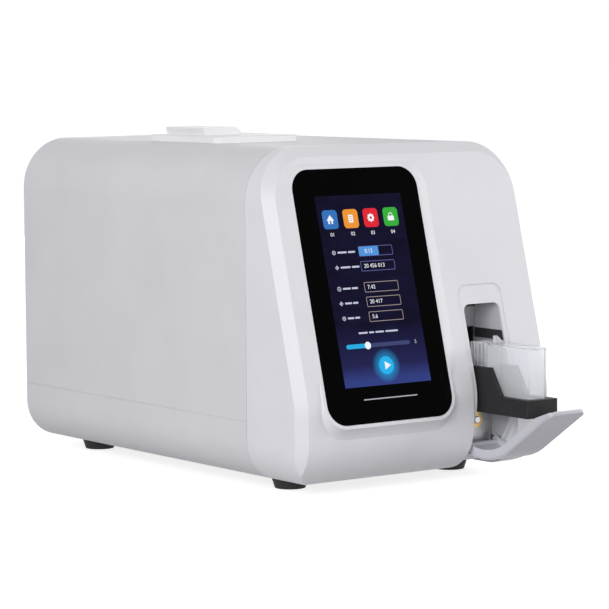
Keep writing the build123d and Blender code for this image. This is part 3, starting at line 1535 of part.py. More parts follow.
hump_left = hinge_x + lid_hump_offset
hump_right = hump_left + lid_hump_width
ear_inner = platen_ear_inset + platen_ear_thickness
with BuildPart() as printer_lid:
    block((hinge_x, lid_right_x), lid_y, (lid_under_z, bezel_top_z))
    with BuildSketch(across(lid_y[1])):
        with BuildLine():
            Polyline(
                (hump_left + 1.5, bezel_top_z - 1),
                (hump_left, bezel_top_z + lid_hump_height - 1.2),
                (hump_left + 1.0, bezel_top_z + lid_hump_height),
                (hump_right - 4.0, bezel_top_z + lid_hump_height),
                (hump_right, bezel_top_z + lid_hump_height / 2),
                (hump_right - 1.0, bezel_top_z - 1),
                close=True,
            )
        make_face()
    extrude(amount=lid_y[1] - lid_y[0])
    for low in (lid_y[0], lid_y[1] - knuckle_length):
        with BuildSketch(across(low + knuckle_length)):
            with Locations((hinge_x, hinge_z)):
                Circle(knuckle_radius)
        extrude(amount=knuckle_length)
    # Between the knuckles the edge stops short of the pin
    block(
        (hinge_x - 1, hinge_x + knuckle_radius),
        (lid_y[0] + knuckle_length, lid_y[1] - knuckle_length),
        (lid_under_z - 1, bezel_top_z + 1),
        Mode.SUBTRACT,
    )
    with BuildSketch(across(lid_y[1] + 1)):
        with Locations((hinge_x, hinge_z)):
            Circle(lid_pin_radius + pin_running_gap)
    extrude(amount=lid_y[1] - lid_y[0] + 2, mode=Mode.SUBTRACT)
    # Ears that carry the platen
    for low in (lid_y[0] + platen_ear_inset, lid_y[1] - ear_inner):
        block(
            (platen_x - platen_ear_half_width, platen_x + platen_ear_half_width),
            (low, low + platen_ear_thickness),
            (platen_z - platen_shaft_radius - 1.5, lid_under_z),
        )
    with BuildSketch(across(lid_y[1])):
        with Locations((platen_x, platen_z)):
            Circle(platen_shaft_radius + pin_running_gap)
    extrude(amount=lid_y[1] - lid_y[0], mode=Mode.SUBTRACT)
save(printer_lid, "printer_lid")

roller_end = ear_inner + seat_gap
with BuildPart() as platen_roller:
    with BuildSketch(across(lid_y[1] - platen_ear_inset / 2)):
        with Locations((platen_x, platen_z)):
            Circle(platen_shaft_radius)
    extrude(amount=lid_y[1] - lid_y[0] - platen_ear_inset)
    with BuildSketch(across(lid_y[1] - roller_end)):
        with Locations((platen_x, platen_z)):
            Circle(platen_radius)
    extrude(amount=lid_y[1] - lid_y[0] - 2 * roller_end)
save(platen_roller, "platen_roller")

head_face_x = platen_x + platen_radius + seat_gap + fit_gap
with BuildPart() as print_head:
    block(
        (head_face_x, bay_x[1] - bay_wall),
        (lid_y[0] + roller_end + 1, lid_y[1] - roller_end - 1),
        (platen_z + print_head_rise - print_head_height, platen_z + print_head_rise),
    )
save(print_head, "print_head")

with BuildPart() as tear_bar:
    bar_x = (bay_x[1] - bay_wall, bay_x[1] - bay_wall + tear_bar_thickness)
    block(bar_x, lid_y, (top_z + lid_edge_gap, bezel_top_z - 1))
    tooth_count = int((lid_y[1] - lid_y[0]) / tear_tooth_pitch)
    with BuildSketch(Plane.YZ.offset(bar_x[0])):
        with Locations(((lid_y[0] + lid_y[1]) / 2, bezel_top_z - 1)):
            with GridLocations(tear_tooth_pitch, 0, tooth_count, 1):
                Rectangle(tear_tooth_size, tear_tooth_size, rotation=45)
    extrude(amount=tear_bar_thickness)
save(tear_bar, "tear_bar")

roll_x = bay_x[0] + bay_wall + paper_roll_side_gap + paper_roll_radius
roll_z = bay_floor_z + bay_wall + seat_gap + paper_roll_radius
roll_y = (lid_open_y[0] + lid_open_y[1]) / 2
with BuildPart() as paper_roll:
    with BuildSketch(across(roll_y)):
        with Locations((roll_x, roll_z)):
            Circle(paper_roll_radius)
            Circle(paper_core_radius, mode=Mode.SUBTRACT)
    extrude(amount=paper_width / 2, both=True)
save(paper_roll, "paper_roll")

with BuildPart() as roll_core:
    with BuildSketch(across(roll_y)):
        with Locations((roll_x, roll_z)):
            Circle(paper_core_radius)
            Circle(paper_core_radius - paper_core_wall, mode=Mode.SUBTRACT)
    extrude(amount=paper_width / 2, both=True)
save(roll_core, "roll_core")
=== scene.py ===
import json
import math

import bmesh
import bpy
from mathutils import Matrix, Vector

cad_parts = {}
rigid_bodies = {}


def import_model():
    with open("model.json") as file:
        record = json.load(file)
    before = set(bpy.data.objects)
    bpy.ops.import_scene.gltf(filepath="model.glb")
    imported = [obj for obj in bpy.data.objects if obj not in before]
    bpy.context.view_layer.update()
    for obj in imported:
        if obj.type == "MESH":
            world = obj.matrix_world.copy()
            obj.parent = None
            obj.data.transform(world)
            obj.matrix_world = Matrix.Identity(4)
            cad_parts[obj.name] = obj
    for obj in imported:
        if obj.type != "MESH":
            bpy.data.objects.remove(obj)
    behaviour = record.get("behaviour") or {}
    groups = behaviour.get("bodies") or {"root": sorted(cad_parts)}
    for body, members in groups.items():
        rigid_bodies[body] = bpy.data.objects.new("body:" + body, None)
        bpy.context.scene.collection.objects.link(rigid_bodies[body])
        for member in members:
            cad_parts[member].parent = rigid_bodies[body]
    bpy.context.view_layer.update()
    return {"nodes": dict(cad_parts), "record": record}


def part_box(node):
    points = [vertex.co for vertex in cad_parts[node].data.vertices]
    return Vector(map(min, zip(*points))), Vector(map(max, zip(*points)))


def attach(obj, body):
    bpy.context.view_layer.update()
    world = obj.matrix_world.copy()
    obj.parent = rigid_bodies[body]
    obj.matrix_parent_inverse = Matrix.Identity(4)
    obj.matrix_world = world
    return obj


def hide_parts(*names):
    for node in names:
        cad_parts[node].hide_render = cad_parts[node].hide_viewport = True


for stray in list(bpy.data.objects):
    bpy.data.objects.remove(stray)

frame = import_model()
print("frame loaded:", len(frame["nodes"]), "pieces")

mm = 0.001
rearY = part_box("upper_housing")[1].y
frontY = rearY - 438.8 * mm  # the line where the screen plane would meet the underside
faceTilt = math.radians(14.87)

# camera, fitted to the photo
cameraView = {
    "focalPixels": 2764.99,
    "imagePixels": 609,
    "sensorWidth": 36.0,
    "yaw": -36.2004,
    "pitch": 5.2415,
    "roll": -0.4122,
    "place": (-1.38204, frontY - 1.69745, 0.351806),
}


def placeCamera(view):
    yaw, pitch, roll = (math.radians(view[key]) for key in ("yaw", "pitch", "roll"))
    level = math.cos(pitch)
    forward = Vector((-math.sin(yaw) * level, math.cos(yaw) * level, -math.sin(pitch)))
    right = Vector((math.cos(yaw), math.sin(yaw), 0))
    up = right.cross(forward)
    rolledRight = right * math.cos(roll) + up * math.sin(roll)
    rolledUp = up * math.cos(roll) - right * math.sin(roll)
    data = bpy.data.cameras.new("photoCamera")
    data.sensor_width = view["sensorWidth"]
    data.lens = view["sensorWidth"] * view["focalPixels"] / view["imagePixels"]
    data.clip_end = 100
    camera = bpy.data.objects.new("photoCamera", data)
    bpy.context.collection.objects.link(camera)
    turn = Matrix((rolledRight, rolledUp, -forward)).transposed().to_4x4()
    camera.matrix_world = Matrix.Translation(view["place"]) @ turn
    bpy.context.scene.camera = camera


placeCamera(cameraView)
print("camera placed")


# material helpers

def newMaterial(name):
    material = bpy.data.materials.new(name)
    material.use_nodes = True
    tree = material.node_tree
    return material, tree, tree.nodes["Principled BSDF"]


def objectPoint(tree, stretch=(1, 1, 1), centre=(0, 0, 0)):
    coords = tree.nodes.new("ShaderNodeTexCoord")
    mapping = tree.nodes.new("ShaderNodeMapping")
    mapping.inputs["Scale"].default_value = stretch
    mapping.inputs["Location"].default_value = [-c * s for c, s in zip(centre, stretch)]
    tree.links.new(coords.outputs["Object"], mapping.inputs["Vector"])
    return mapping.outputs["Vector"]


def noiseAt(tree, point, scale, detail=3.0):
    noise = tree.nodes.new("ShaderNodeTexNoise")
    noise.inputs["Scale"].default_value = scale
    noise.inputs["Detail"].default_value = detail
    tree.links.new(point, noise.inputs["Vector"])
    return noise.outputs["Fac"]


def spread(tree, value, low, high, fromLow=0.3, fromHigh=0.7):
    node = tree.nodes.new("ShaderNodeMapRange")
    limits = (("From Min", fromLow), ("From Max", fromHigh), ("To Min", low), ("To Max", high))
    for name, number in limits:
        node.inputs[name].default_value = number
    tree.links.new(value, node.inputs["Value"])
    return node.outputs["Result"]


def mixColours(tree, factor, first, second):
    node = tree.nodes.new("ShaderNodeMix")
    node.data_type = "RGBA"
    for index, colour in ((6, first), (7, second)):
        if isinstance(colour, tuple):
            node.inputs[index].default_value = (*colour, 1)
        else:
            tree.links.new(colour, node.inputs[index])
    tree.links.new(factor, node.inputs[0])
    return node.outputs[2]


def addBump(tree, shader, height, depth, strength=1.0):
    bump = tree.nodes.new("ShaderNodeBump")
    bump.inputs["Strength"].default_value = strength
    bump.inputs["Distance"].default_value = depth
    tree.links.new(height, bump.inputs["Height"])
    tree.links.new(bump.outputs["Normal"], shader.inputs["Normal"])


def shade(colour, amount):
    return tuple(min(1.0, channel * amount) for channel in colour)


# what a finish has unless it says otherwise
plainFinish = {
    "stretch": (1, 1, 1),
    "patchScale": 18,
    "uneven": 0.025,
    "roughStep": 0.05,
    "grainScale": 1600,
    "grainDetail": 2.0,
    "grainDepth": 0.00002,
    "grainStrength": 0.35,
    "speckle": 0.015,
    "speckleColour": (0, 0, 0),
    "sockets": {},
}


def makeFinish(name, changes):
    # soft colour patches, uneven gloss and a fine grain, all in the piece's own space
    look = {**plainFinish, **changes}
    material, tree, shader = newMaterial(name)
    point = objectPoint(tree, look["stretch"])
    patches = noiseAt(tree, point, look["patchScale"])
    grain = noiseAt(tree, point, look["grainScale"], look["grainDetail"])
    darker = shade(look["colour"], 1 - look["uneven"])
    lighter = shade(look["colour"], 1 + look["uneven"])
    tint = mixColours(tree, spread(tree, patches, 0, 1), darker, lighter)
    tint = mixColours(tree, spread(tree, grain, 0, look["speckle"]), tint, look["speckleColour"])
    tree.links.new(tint, shader.inputs["Base Color"])
    smoothest = look["roughness"] - look["roughStep"]
    roughest = look["roughness"] + look["roughStep"]
    tree.links.new(spread(tree, patches, smoothest, roughest), shader.inputs["Roughness"])
    addBump(tree, shader, grain, look["grainDepth"], look["grainStrength"])
    for socket, value in look["sockets"].items():
        shader.inputs[socket].default_value = value
    return material


finishes = {
    "housing_shell": {
        "colour": (0.745, 0.745, 0.78), "roughness": 0.46, "sockets": {"Specular IOR Level": 0.22},
    },
    # front_shell is the same white plastic as housing_shell; its lighter colour is painted light, for
    # the front that faces the lamps, and the housing's darker colour is painted shade
    "front_shell": {
        "colour": (0.8, 0.8, 0.845), "roughness": 0.4, "sockets": {"Specular IOR Level": 0.35},
    },
    "printer_white": {
        "colour": (0.92, 0.92, 0.935), "roughness": 0.42, "sockets": {"Specular IOR Level": 0.22},
    },
    "flap_grey": {
        "colour": (0.56, 0.56, 0.615), "roughness": 0.4, "sockets": {"Specular IOR Level": 0.3},
    },
    "flap_light_grey": {"colour": (0.66, 0.66, 0.72), "roughness": 0.38},
    "liner_plastic": {"colour": (0.58, 0.58, 0.62), "roughness": 0.4},
    "strip_dark": {"colour": (0.045, 0.045, 0.05), "roughness": 0.35},
    "tray_black": {
        "colour": (0.026, 0.026, 0.028), "roughness": 0.46, "uneven": 0.15,
        "sockets": {"Specular IOR Level": 0.15},
    },
    "foot_rubber": {
        "colour": (0.012, 0.012, 0.012), "roughness": 0.75, "uneven": 0.2, "grainScale": 900,
    },
    "socket_black": {"colour": (0.016, 0.016, 0.016), "roughness": 0.32, "uneven": 0.15},
    "fan_black": {"colour": (0.014, 0.014, 0.015), "roughness": 0.45, "uneven": 0.15},
    "print_head_black": {"colour": (0.02, 0.02, 0.02), "roughness": 0.3, "uneven": 0.2},
    "lamp_housing": {"colour": (0.02, 0.02, 0.022), "roughness": 0.4, "uneven": 0.15},
    "electronic_parts": {"colour": (0.02, 0.02, 0.022), "roughness": 0.5, "uneven": 0.2},
    "platen_rubber": {"colour": (0.05, 0.05, 0.05), "roughness": 0.7, "uneven": 0.15},
    "paper_core": {
        "colour": (0.3, 0.22, 0.13), "roughness": 0.8, "uneven": 0.12, "grainScale": 700,
    },
    "heater_foil": {"colour": (0.42, 0.16, 0.03), "roughness": 0.28, "uneven": 0.1},
    "motor_case": {"colour": (0.022, 0.022, 0.025), "roughness": 0.34, "uneven": 0.12},
    "rear_panel_grey": {
        "colour": (0.33, 0.33, 0.35), "roughness": 0.5, "grainScale": 1100, "grainDepth": 0.00006,
        "grainStrength": 0.6, "speckle": 0.06,
    },
    "sheet_metal": {
        "colour": (0.55, 0.56, 0.57), "roughness": 0.34, "uneven": 0.08, "patchScale": 60,
        "sockets": {"Metallic": 1.0},
    },
    "bright_steel": {
        "colour": (0.6, 0.6, 0.61), "roughness": 0.22, "uneven": 0.06, "stretch": (1, 0.1, 1),
        "sockets": {"Metallic": 1.0},
    },
    "brass_parts": {
        "colour": (0.62, 0.42, 0.16), "roughness": 0.26, "uneven": 0.08,
        "sockets": {"Metallic": 1.0},
    },
    "port_metal": {
        "colour": (0.62, 0.62, 0.62), "roughness": 0.28, "uneven": 0.06,
        "sockets": {"Metallic": 1.0},
    },
    "reader_metal": {
        "colour": (0.62, 0.62, 0.64), "roughness": 0.36, "uneven": 0.06, "stretch": (1, 0.15, 1),
        "sockets": {"Metallic": 1.0},
    },
    "light_guide": {
        "colour": (0.4, 0.41, 0.44), "roughness": 0.3, "uneven": 0.05,
        "sockets": {"Emission Color": (0.85, 0.9, 1, 1), "Emission Strength": 0.08},
    },
    "screen_glass": {
        "colour": (0.0006, 0.0006, 0.0008), "roughness": 0.1, "roughStep": 0.02, "uneven": 0.2,
        "grainStrength": 0.02, "speckle": 0.0, "sockets": {"Specular IOR Level": 0.02},
    },
    "display_panel": {"colour": (0.01, 0.012, 0.05), "roughness": 0.2, "uneven": 0.1},
    # the faint emission on the clear plastic is painted light: the cartridge glows a little though no
    # lamp is in it
    "cartridge_plastic": {
        "colour": (0.97, 0.975, 1.0), "roughness": 0.12, "roughStep": 0.03, "uneven": 0.01,
        "speckle": 0.0, "sockets": {
            "Transmission Weight": 0.79, "IOR": 1.15,
            "Emission Color": (0.95, 0.96, 1, 1), "Emission Strength": 0.02,
        },
    },
}
materials = {name: makeFinish(name, look) for name, look in finishes.items()}


def circuitBoard(name, look):
    # solder mask with copper tracks just under it
    material, tree, shader = newMaterial(name)
    point = objectPoint(tree)
    tracks = tree.nodes.new("ShaderNodeTexBrick")
    tracks.inputs["Scale"].default_value = look["trackScale"]
    tracks.inputs["Mortar Size"].default_value = look["trackWidth"]
    tracks.inputs["Color1"].default_value = (*look["colour"], 1)
    tracks.inputs["Color2"].default_value = (*shade(look["colour"], look["darkArea"]), 1)
    tracks.inputs["Mortar"].default_value = (*look["trackColour"], 1)
    tree.links.new(point, tracks.inputs["Vector"])
    patches = noiseAt(tree, point, look["patchScale"])
    dull = spread(tree, patches, 0, look["patchShare"])
    tint = mixColours(tree, dull, tracks.outputs["Color"], shade(look["colour"], look["patchShade"]))
    tree.links.new(tint, shader.inputs["Base Color"])
    tree.links.new(spread(tree, patches, *look["roughness"]), shader.inputs["Roughness"])
    addBump(tree, shader, tracks.outputs["Fac"], look["trackDepth"], look["trackStrength"])
    return material


materials["circuit_board"] = circuitBoard("circuit_board", {
    "colour": (0.012, 0.09, 0.04),
    "darkArea": 0.85,
    "trackColour": (0.03, 0.2, 0.08),
    "trackScale": 160,
    "trackWidth": 0.03,
    "trackDepth": 0.00003,
    "trackStrength": 0.3,
    "patchScale": 60,
    "patchShare": 0.25,
    "patchShade": 0.7,
    "roughness": (0.25, 0.4),
})


def rolledPaper(name, look):
    # fine turns of paper on the roll's ends, plain on the outside
    material, tree, shader = newMaterial(name)
    point = objectPoint(tree, centre=look["centre"])
    rings = tree.nodes.new("ShaderNodeTexWave")
    rings.wave_type = "RINGS"
    rings.rings_direction = "Y"
    rings.inputs["Scale"].default_value = look["turnsScale"]
    rings.inputs["Distortion"].default_value = look["turnsWander"]
    tree.links.new(point, rings.inputs["Vector"])
    gap = shade(look["colour"], look["turnShade"])
    tint = mixColours(tree, rings.outputs["Fac"], gap, look["colour"])
    tree.links.new(tint, shader.inputs["Base Color"])
    fibres = noiseAt(tree, point, look["fibreScale"])
    tree.links.new(spread(tree, fibres, *look["roughness"]), shader.inputs["Roughness"])
    addBump(tree, shader, rings.outputs["Fac"], look["turnDepth"], look["turnStrength"])
    return material


rollLow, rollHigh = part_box("paper_roll")
materials["paper"] = rolledPaper("paper", {
    "colour": (0.85, 0.85, 0.83),
    "centre": (rollLow + rollHigh) / 2,
    "turnsScale": 400,
    "turnsWander": 0.3,
    "turnShade": 0.9,
    "turnDepth": 0.00003,
    "turnStrength": 0.4,
    "fibreScale": 300,
    "roughness": (0.55, 0.7),
})

for row in frame["record"]["subparts"]:
    for slot in frame["nodes"][row["node"]].material_slots:
        slot.material = materials[row["material_slot"]]
print("finishes on every carried-over piece")


# mesh helpers

mergeReach = 1e-7  # metres, for points that lie on each other
cornerSteps = 5  # round corners of flat bars
edgeSteps = 3  # round edges of blocks


def finishPiece(name, bm, material, body, smoothBelow=None):
    bmesh.ops.remove_doubles(bm, verts=bm.verts, dist=mergeReach)
    bmesh.ops.recalc_face_normals(bm, faces=bm.faces)
    if smoothBelow is not None:
        limit = math.radians(smoothBelow)
        for face in bm.faces:
            face.smooth = True
        for edge in bm.edges:
            edge.smooth = len(edge.link_faces) == 2 and edge.calc_face_angle(0) < limit
    mesh = bpy.data.meshes.new(name)
    bm.to_mesh(mesh)
    bm.free()
    piece = bpy.data.objects.new(name, mesh)
    bpy.context.collection.objects.link(piece)
    mesh.materials.append(material)
    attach(piece, body)
    return piece


def joinInto(bm, part, place=Matrix()):
    mesh = bpy.data.meshes.new("part")
    bmesh.ops.transform(part, matrix=place, verts=part.verts)
    part.to_mesh(mesh)
    part.free()
    bm.from_mesh(mesh)
    bpy.data.meshes.remove(mesh)


def raiseFlat(part, base, top):
    # turns a flat outline into a closed plate between two heights
    bmesh.ops.translate(part, vec=(0, 0, base), verts=part.verts)
    grown = bmesh.ops.extrude_face_region(part, geom=part.faces[:], use_keep_orig=True)
    newVerts = [item for item in grown["geom"] if isinstance(item, bmesh.types.BMVert)]
    bmesh.ops.translate(part, vec=(0, 0, top - base), verts=newVerts)


def openMiddle(part, border):
    # leaves a border of a flat outline and takes out what it goes round
    middle = part.faces[:]
    bmesh.ops.inset_region(
        part, faces=middle, thickness=border, use_boundary=True, use_even_offset=True,
    )
    bmesh.ops.delete(part, geom=middle, context="FACES")


def addBar(bm, centre, size, radius, base, top, line=None):
    # a flat bar with round corners, or only its outline as wide as line
    part = bmesh.new()
    bmesh.ops.create_grid(part, x_segments=1, y_segments=1, size=0.5)
    bmesh.ops.scale(part, vec=(size[0], size[1], 1), verts=part.verts)
    if radius:
        bmesh.ops.bevel(
            part, geom=part.verts[:], offset=radius, offset_type="OFFSET", segments=cornerSteps,
            profile=0.5, affect="VERTICES", material=-1,
        )
    if line:
        openMiddle(part, line)
    raiseFlat(part, base, top)
    joinInto(bm, part, Matrix.Translation((centre[0], centre[1], 0)))


def addDisc(bm, centre, radius, base, top, segments=32, turn=0.0, squeeze=1.0, hole=None):
    # a flat disc, or with few segments a flat polygon, with or without a hole
    part = bmesh.new()
    bmesh.ops.create_circle(part, cap_ends=True, segments=segments, radius=radius)
    if hole:
        openMiddle(part, radius - hole)
    bmesh.ops.rotate(part, cent=(0, 0, 0), matrix=Matrix.Rotation(turn, 3, "Z"), verts=part.verts)
    bmesh.ops.scale(part, vec=(1, squeeze, 1), verts=part.verts)
    raiseFlat(part, base, top)
    joinInto(bm, part, Matrix.Translation((centre[0], centre[1], 0)))


def addDigits(bm, text, place, size, base, top, align="LEFT"):
    curve = bpy.data.curves.new("digits", "FONT")
    curve.body = text
    curve.size = size
    curve.align_x = align
    curve.align_y = "CENTER"
    curve.extrude = (top - base) / 2
    holder = bpy.data.objects.new("digits", curve)
    mesh = bpy.data.meshes.new_from_object(holder)
    mesh.transform(Matrix.Translation((place[0], place[1], (base + top) / 2)))
    bm.from_mesh(mesh)
    bpy.data.objects.remove(holder)
    bpy.data.meshes.remove(mesh)
    bpy.data.curves.remove(curve)


def turnTo(direction):
    return Vector((0, 0, 1)).rotation_difference(Vector(direction)).to_matrix().to_4x4()


def addTurned(bm, outline, place, steps=64):
    # spins a chain of (radius, height) points into a closed round form
    part = bmesh.new()
    points = [part.verts.new((radius, 0, height)) for radius, height in outline]
    chain = [part.edges.new(pair) for pair in zip(points, points[1:])]
    bmesh.ops.spin(
        part, geom=points + chain, cent=(0, 0, 0), axis=(0, 0, 1), angle=2 * math.pi,
        steps=steps, use_merge=True,
    )
    bmesh.ops.remove_doubles(part, verts=part.verts, dist=10 * mergeReach)
    bmesh.ops.recalc_face_normals(part, faces=part.faces)
    joinInto(bm, part, place)


def addWireRing(bm, radius, wire, place, steps=96, sides=12):
    part = bmesh.new()
    bmesh.ops.create_circle(part, segments=sides, radius=wire)
    upright = Matrix.Rotation(math.pi / 2, 3, "X")
    bmesh.ops.rotate(part, cent=(0, 0, 0), matrix=upright, verts=part.verts)
    bmesh.ops.translate(part, vec=(radius, 0, 0), verts=part.verts)
    bmesh.ops.spin(
        part, geom=part.verts[:] + part.edges[:], cent=(0, 0, 0), axis=(0, 0, 1),
        angle=2 * math.pi, steps=steps, use_merge=True,
    )
    bmesh.ops.recalc_face_normals(part, faces=part.faces)
    joinInto(bm, part, place)


def addRod(bm, start, end, radius, sides=16):
    start, end = Vector(start), Vector(end)
    length = (end - start).length
    part = bmesh.new()
    bmesh.ops.create_cone(
        part, cap_ends=True, segments=sides, radius1=radius, radius2=radius, depth=length,
    )
    joinInto(bm, part, Matrix.Translation((start + end) / 2) @ turnTo(end - start))


def addBlock(bm, low, high, edge=0.0):
    part = bmesh.new()
    bmesh.ops.create_cube(part, size=1)
    size = [b - a for a, b in zip(low, high)]
    bmesh.ops.scale(part, vec=size, verts=part.verts)
    if edge:
        bmesh.ops.bevel(
            part, geom=part.edges[:], offset=edge, segments=edgeSteps, profile=0.5,
            affect="EDGES", material=-1,
        )
    joinInto(bm, part, Matrix.Translation([(a + b) / 2 for a, b in zip(low, high)]))


# the display's picture, laid on the glass over the active area
# in metres: where the picture lies and how thick one layer of it is
screenPlace = {
    "glassHeight": 205.3 * mm,
    "shift": (0.7 * mm, 3.7 * mm),  # from the glass's middle to the picture's
    "size": (86.1 * mm, 154.2 * mm),
    "layer": 0.03 * mm,
}
# in millimetres from the picture's middle, across and up
screenPicture = {
    "iconAcross": (-31.1, -10.7, 9.4, 29.6),
    "iconUp": 58.0,
    "iconSize": (14.8, 15.4),
    "iconRound": 3.0,
    "labelUp": 45.7,
    "smallDigits": 4.2,
    "roof": {"up": 0.6, "radius": 4.2, "squeeze": 0.75},
    "houseWall": {"across": 1.5, "up": -1.8, "size": (1.6, 3.4)},
    "sheet": {"size": (4.6, 6.4), "round": 0.6, "lineUp": (-1.4, 0.2, 1.8), "lineSize": (3.0, 0.5)},
    "gear": {"radius": 2.9, "hole": 1.2, "teeth": 8, "tooth": 0.8},
    "lockBody": {"up": -1.2, "size": (6.2, 3.8), "round": 0.6},
    "lockBow": {"up": 1.4, "radius": 2.0, "hole": 1.4},
    "rowUp": (31.1, 19.0, 1.9, -9.9, -21.9),
    "rowText": ((-29.2, 17.4), (-28.4, 18.5), (-29.7, 14.9), (-29.9, 13.1), (-29.5, 12.0)),
    "rowSides": (6, 4, 24, 4, 6),
    "rowSign": {"before": 3.6, "radius": 1.9, "hole": 1.35},
    "rowDot": {"radius": 0.6, "sides": 12},
    "rowWords": ((0.0, 0.52), (0.6, 0.4)),  # start and width as shares of the row's text
    "rowDigits": ("0.12", "20 456 013", "7.42", "20 417", "5.6"),
    "rowDigitsShift": (-11.0, -14.0, -14.0, -14.0, -14.0),
    "digitSize": 4.6,
    "textHeight": 1.5,
    "textRound": 0.5,
    "fieldAcross": 8.8,
    "fieldSize": (34.2, 8.2),
    "fieldRound": 1.0,
    "fieldLine": 0.45,
    "filled": {"across": 10.2, "size": (19.4, 7.3), "round": 0.8},
    "noteUp": -34.4,
    "noteWords": ((-21.4, 9.0), (-11.0, 5.0), (-4.6, 8.5), (5.4, 12.5)),
    "noteHeight": 1.4,
    "sliderUp": -44.7,
    "sliderEnds": (-35.6, 28.0),
    "sliderFilled": (3.6, 1.7),  # height and corner
    "sliderEmpty": (3.2, 1.5),
    "sliderDigitAcross": 33.8,
    "knobAcross": -14.3,
    "knobRadius": 3.0,
    "playAt": (0.8, -61.7),
    "playDisc": {"radius": 7.2, "sides": 48},
    "playSign": {"across": 0.6, "radius": 3.9},
}
# the display's own light: dark above, brighter at the foot, with a halo round the start button
screenGlow = {
    "night": (0.0028, 0.0018, 0.0125),
    "foot": (0.022, 0.023, 0.115),
    "footShare": 0.32,
    "cloud": (0.012, 0.012, 0.065),
    "cloudScale": 35,
    "cloudStretch": (1, 1, 3),
    "cloudShare": 0.3,
    "band": (0.05, 0.1, 0.42),
    "bandHeight": (4 * mm, 16 * mm),
    "bandShare": 0.35,
    "halo": (0.02, 0.4, 0.85),
    "haloRadius": 14 * mm,
    "roughness": (0.08, 0.14),
    "unlit": (0.003, 0.003, 0.004, 1),
    "reflection": 0.02,
    "pixelScale": 2500,
    "pixelDetail": 1.0,
    "pixelShade": (0.93, 1.05),
}
screenColours = {
    "iconBlue": (0.035, 0.17, 0.5),
    "iconOrange": (0.86, 0.3, 0.035),
    "iconRed": (0.75, 0.02, 0.035),
    "iconGreen": (0.04, 0.42, 0.045),
    "glyphWhite": (0.9, 0.92, 0.97),
    "textPale": (0.55, 0.58, 0.72),
    "lineBlue": (0.12, 0.14, 0.38),
    "lineTan": (0.4, 0.33, 0.32),
    "fieldBlue": (0.08, 0.3, 0.72),
    "sliderCyan": (0.02, 0.42, 0.75),
    "sliderTrack": (0.05, 0.06, 0.17),
    "playCyan": (0.02, 0.45, 0.85),
}


def lightUp(tree, shader, light, gloss, glow):
    tree.links.new(light, shader.inputs["Emission Color"])
    shader.inputs["Emission Strength"].default_value = 1.0
    shader.inputs["Base Color"].default_value = glow["unlit"]
    shader.inputs["Specular IOR Level"].default_value = glow["reflection"]
    tree.links.new(spread(tree, gloss, *glow["roughness"]), shader.inputs["Roughness"])


def litColour(name, colour, glow):
    # a lit part of the display under smooth glass, with a faint pixel grain
    material, tree, shader = newMaterial(name)
    grain = noiseAt(tree, objectPoint(tree), glow["pixelScale"], glow["pixelDetail"])
    dim, bright = (shade(colour, amount) for amount in glow["pixelShade"])
    tint = mixColours(tree, spread(tree, grain, 0, 1), dim, bright)
    lightUp(tree, shader, tint, grain, glow)
    return material


def glowingPicture(name, place, where, picture, glow):
    # a gradient up the picture, soft clouds in it, a bright band at the foot and the halo
    material, tree, shader = newMaterial(name)
    coords = tree.nodes.new("ShaderNodeTexCoord")
    foot = place @ Vector((0, -where["size"][1] / 2, 0))
    rise = place.to_3x3() @ Vector((0, 1, 0))
    split = tree.nodes.new("ShaderNodeSeparateXYZ")
    tree.links.new(coords.outputs["Object"], split.inputs["Vector"])
    height = where["size"][1] * rise.z
    low = spread(tree, split.outputs["Z"], 1, 0, foot.z, foot.z + height * glow["footShare"])
    base = mixColours(tree, low, glow["night"], glow["foot"])
    cloud = noiseAt(tree, objectPoint(tree, glow["cloudStretch"]), glow["cloudScale"])
    base = mixColours(tree, spread(tree, cloud, 0, glow["cloudShare"]), base, glow["cloud"])
    bandLow, bandHigh = (foot.z + lift for lift in glow["bandHeight"])
    band = spread(tree, split.outputs["Z"], 1, 0, bandLow, bandHigh)
    base = mixColours(tree, spread(tree, band, 0, glow["bandShare"], 0, 1), base, glow["band"])
    button = place @ Vector((*[c * mm for c in picture["playAt"]], 0))
    reach = 1 / glow["haloRadius"]
    halo = tree.nodes.new("ShaderNodeTexGradient")
    halo.gradient_type = "SPHERICAL"
    tree.links.new(objectPoint(tree, (reach, reach, reach), button), halo.inputs["Vector"])
    base = mixColours(tree, halo.outputs["Fac"], base, glow["halo"])
    lightUp(tree, shader, base, cloud, glow)
    return material


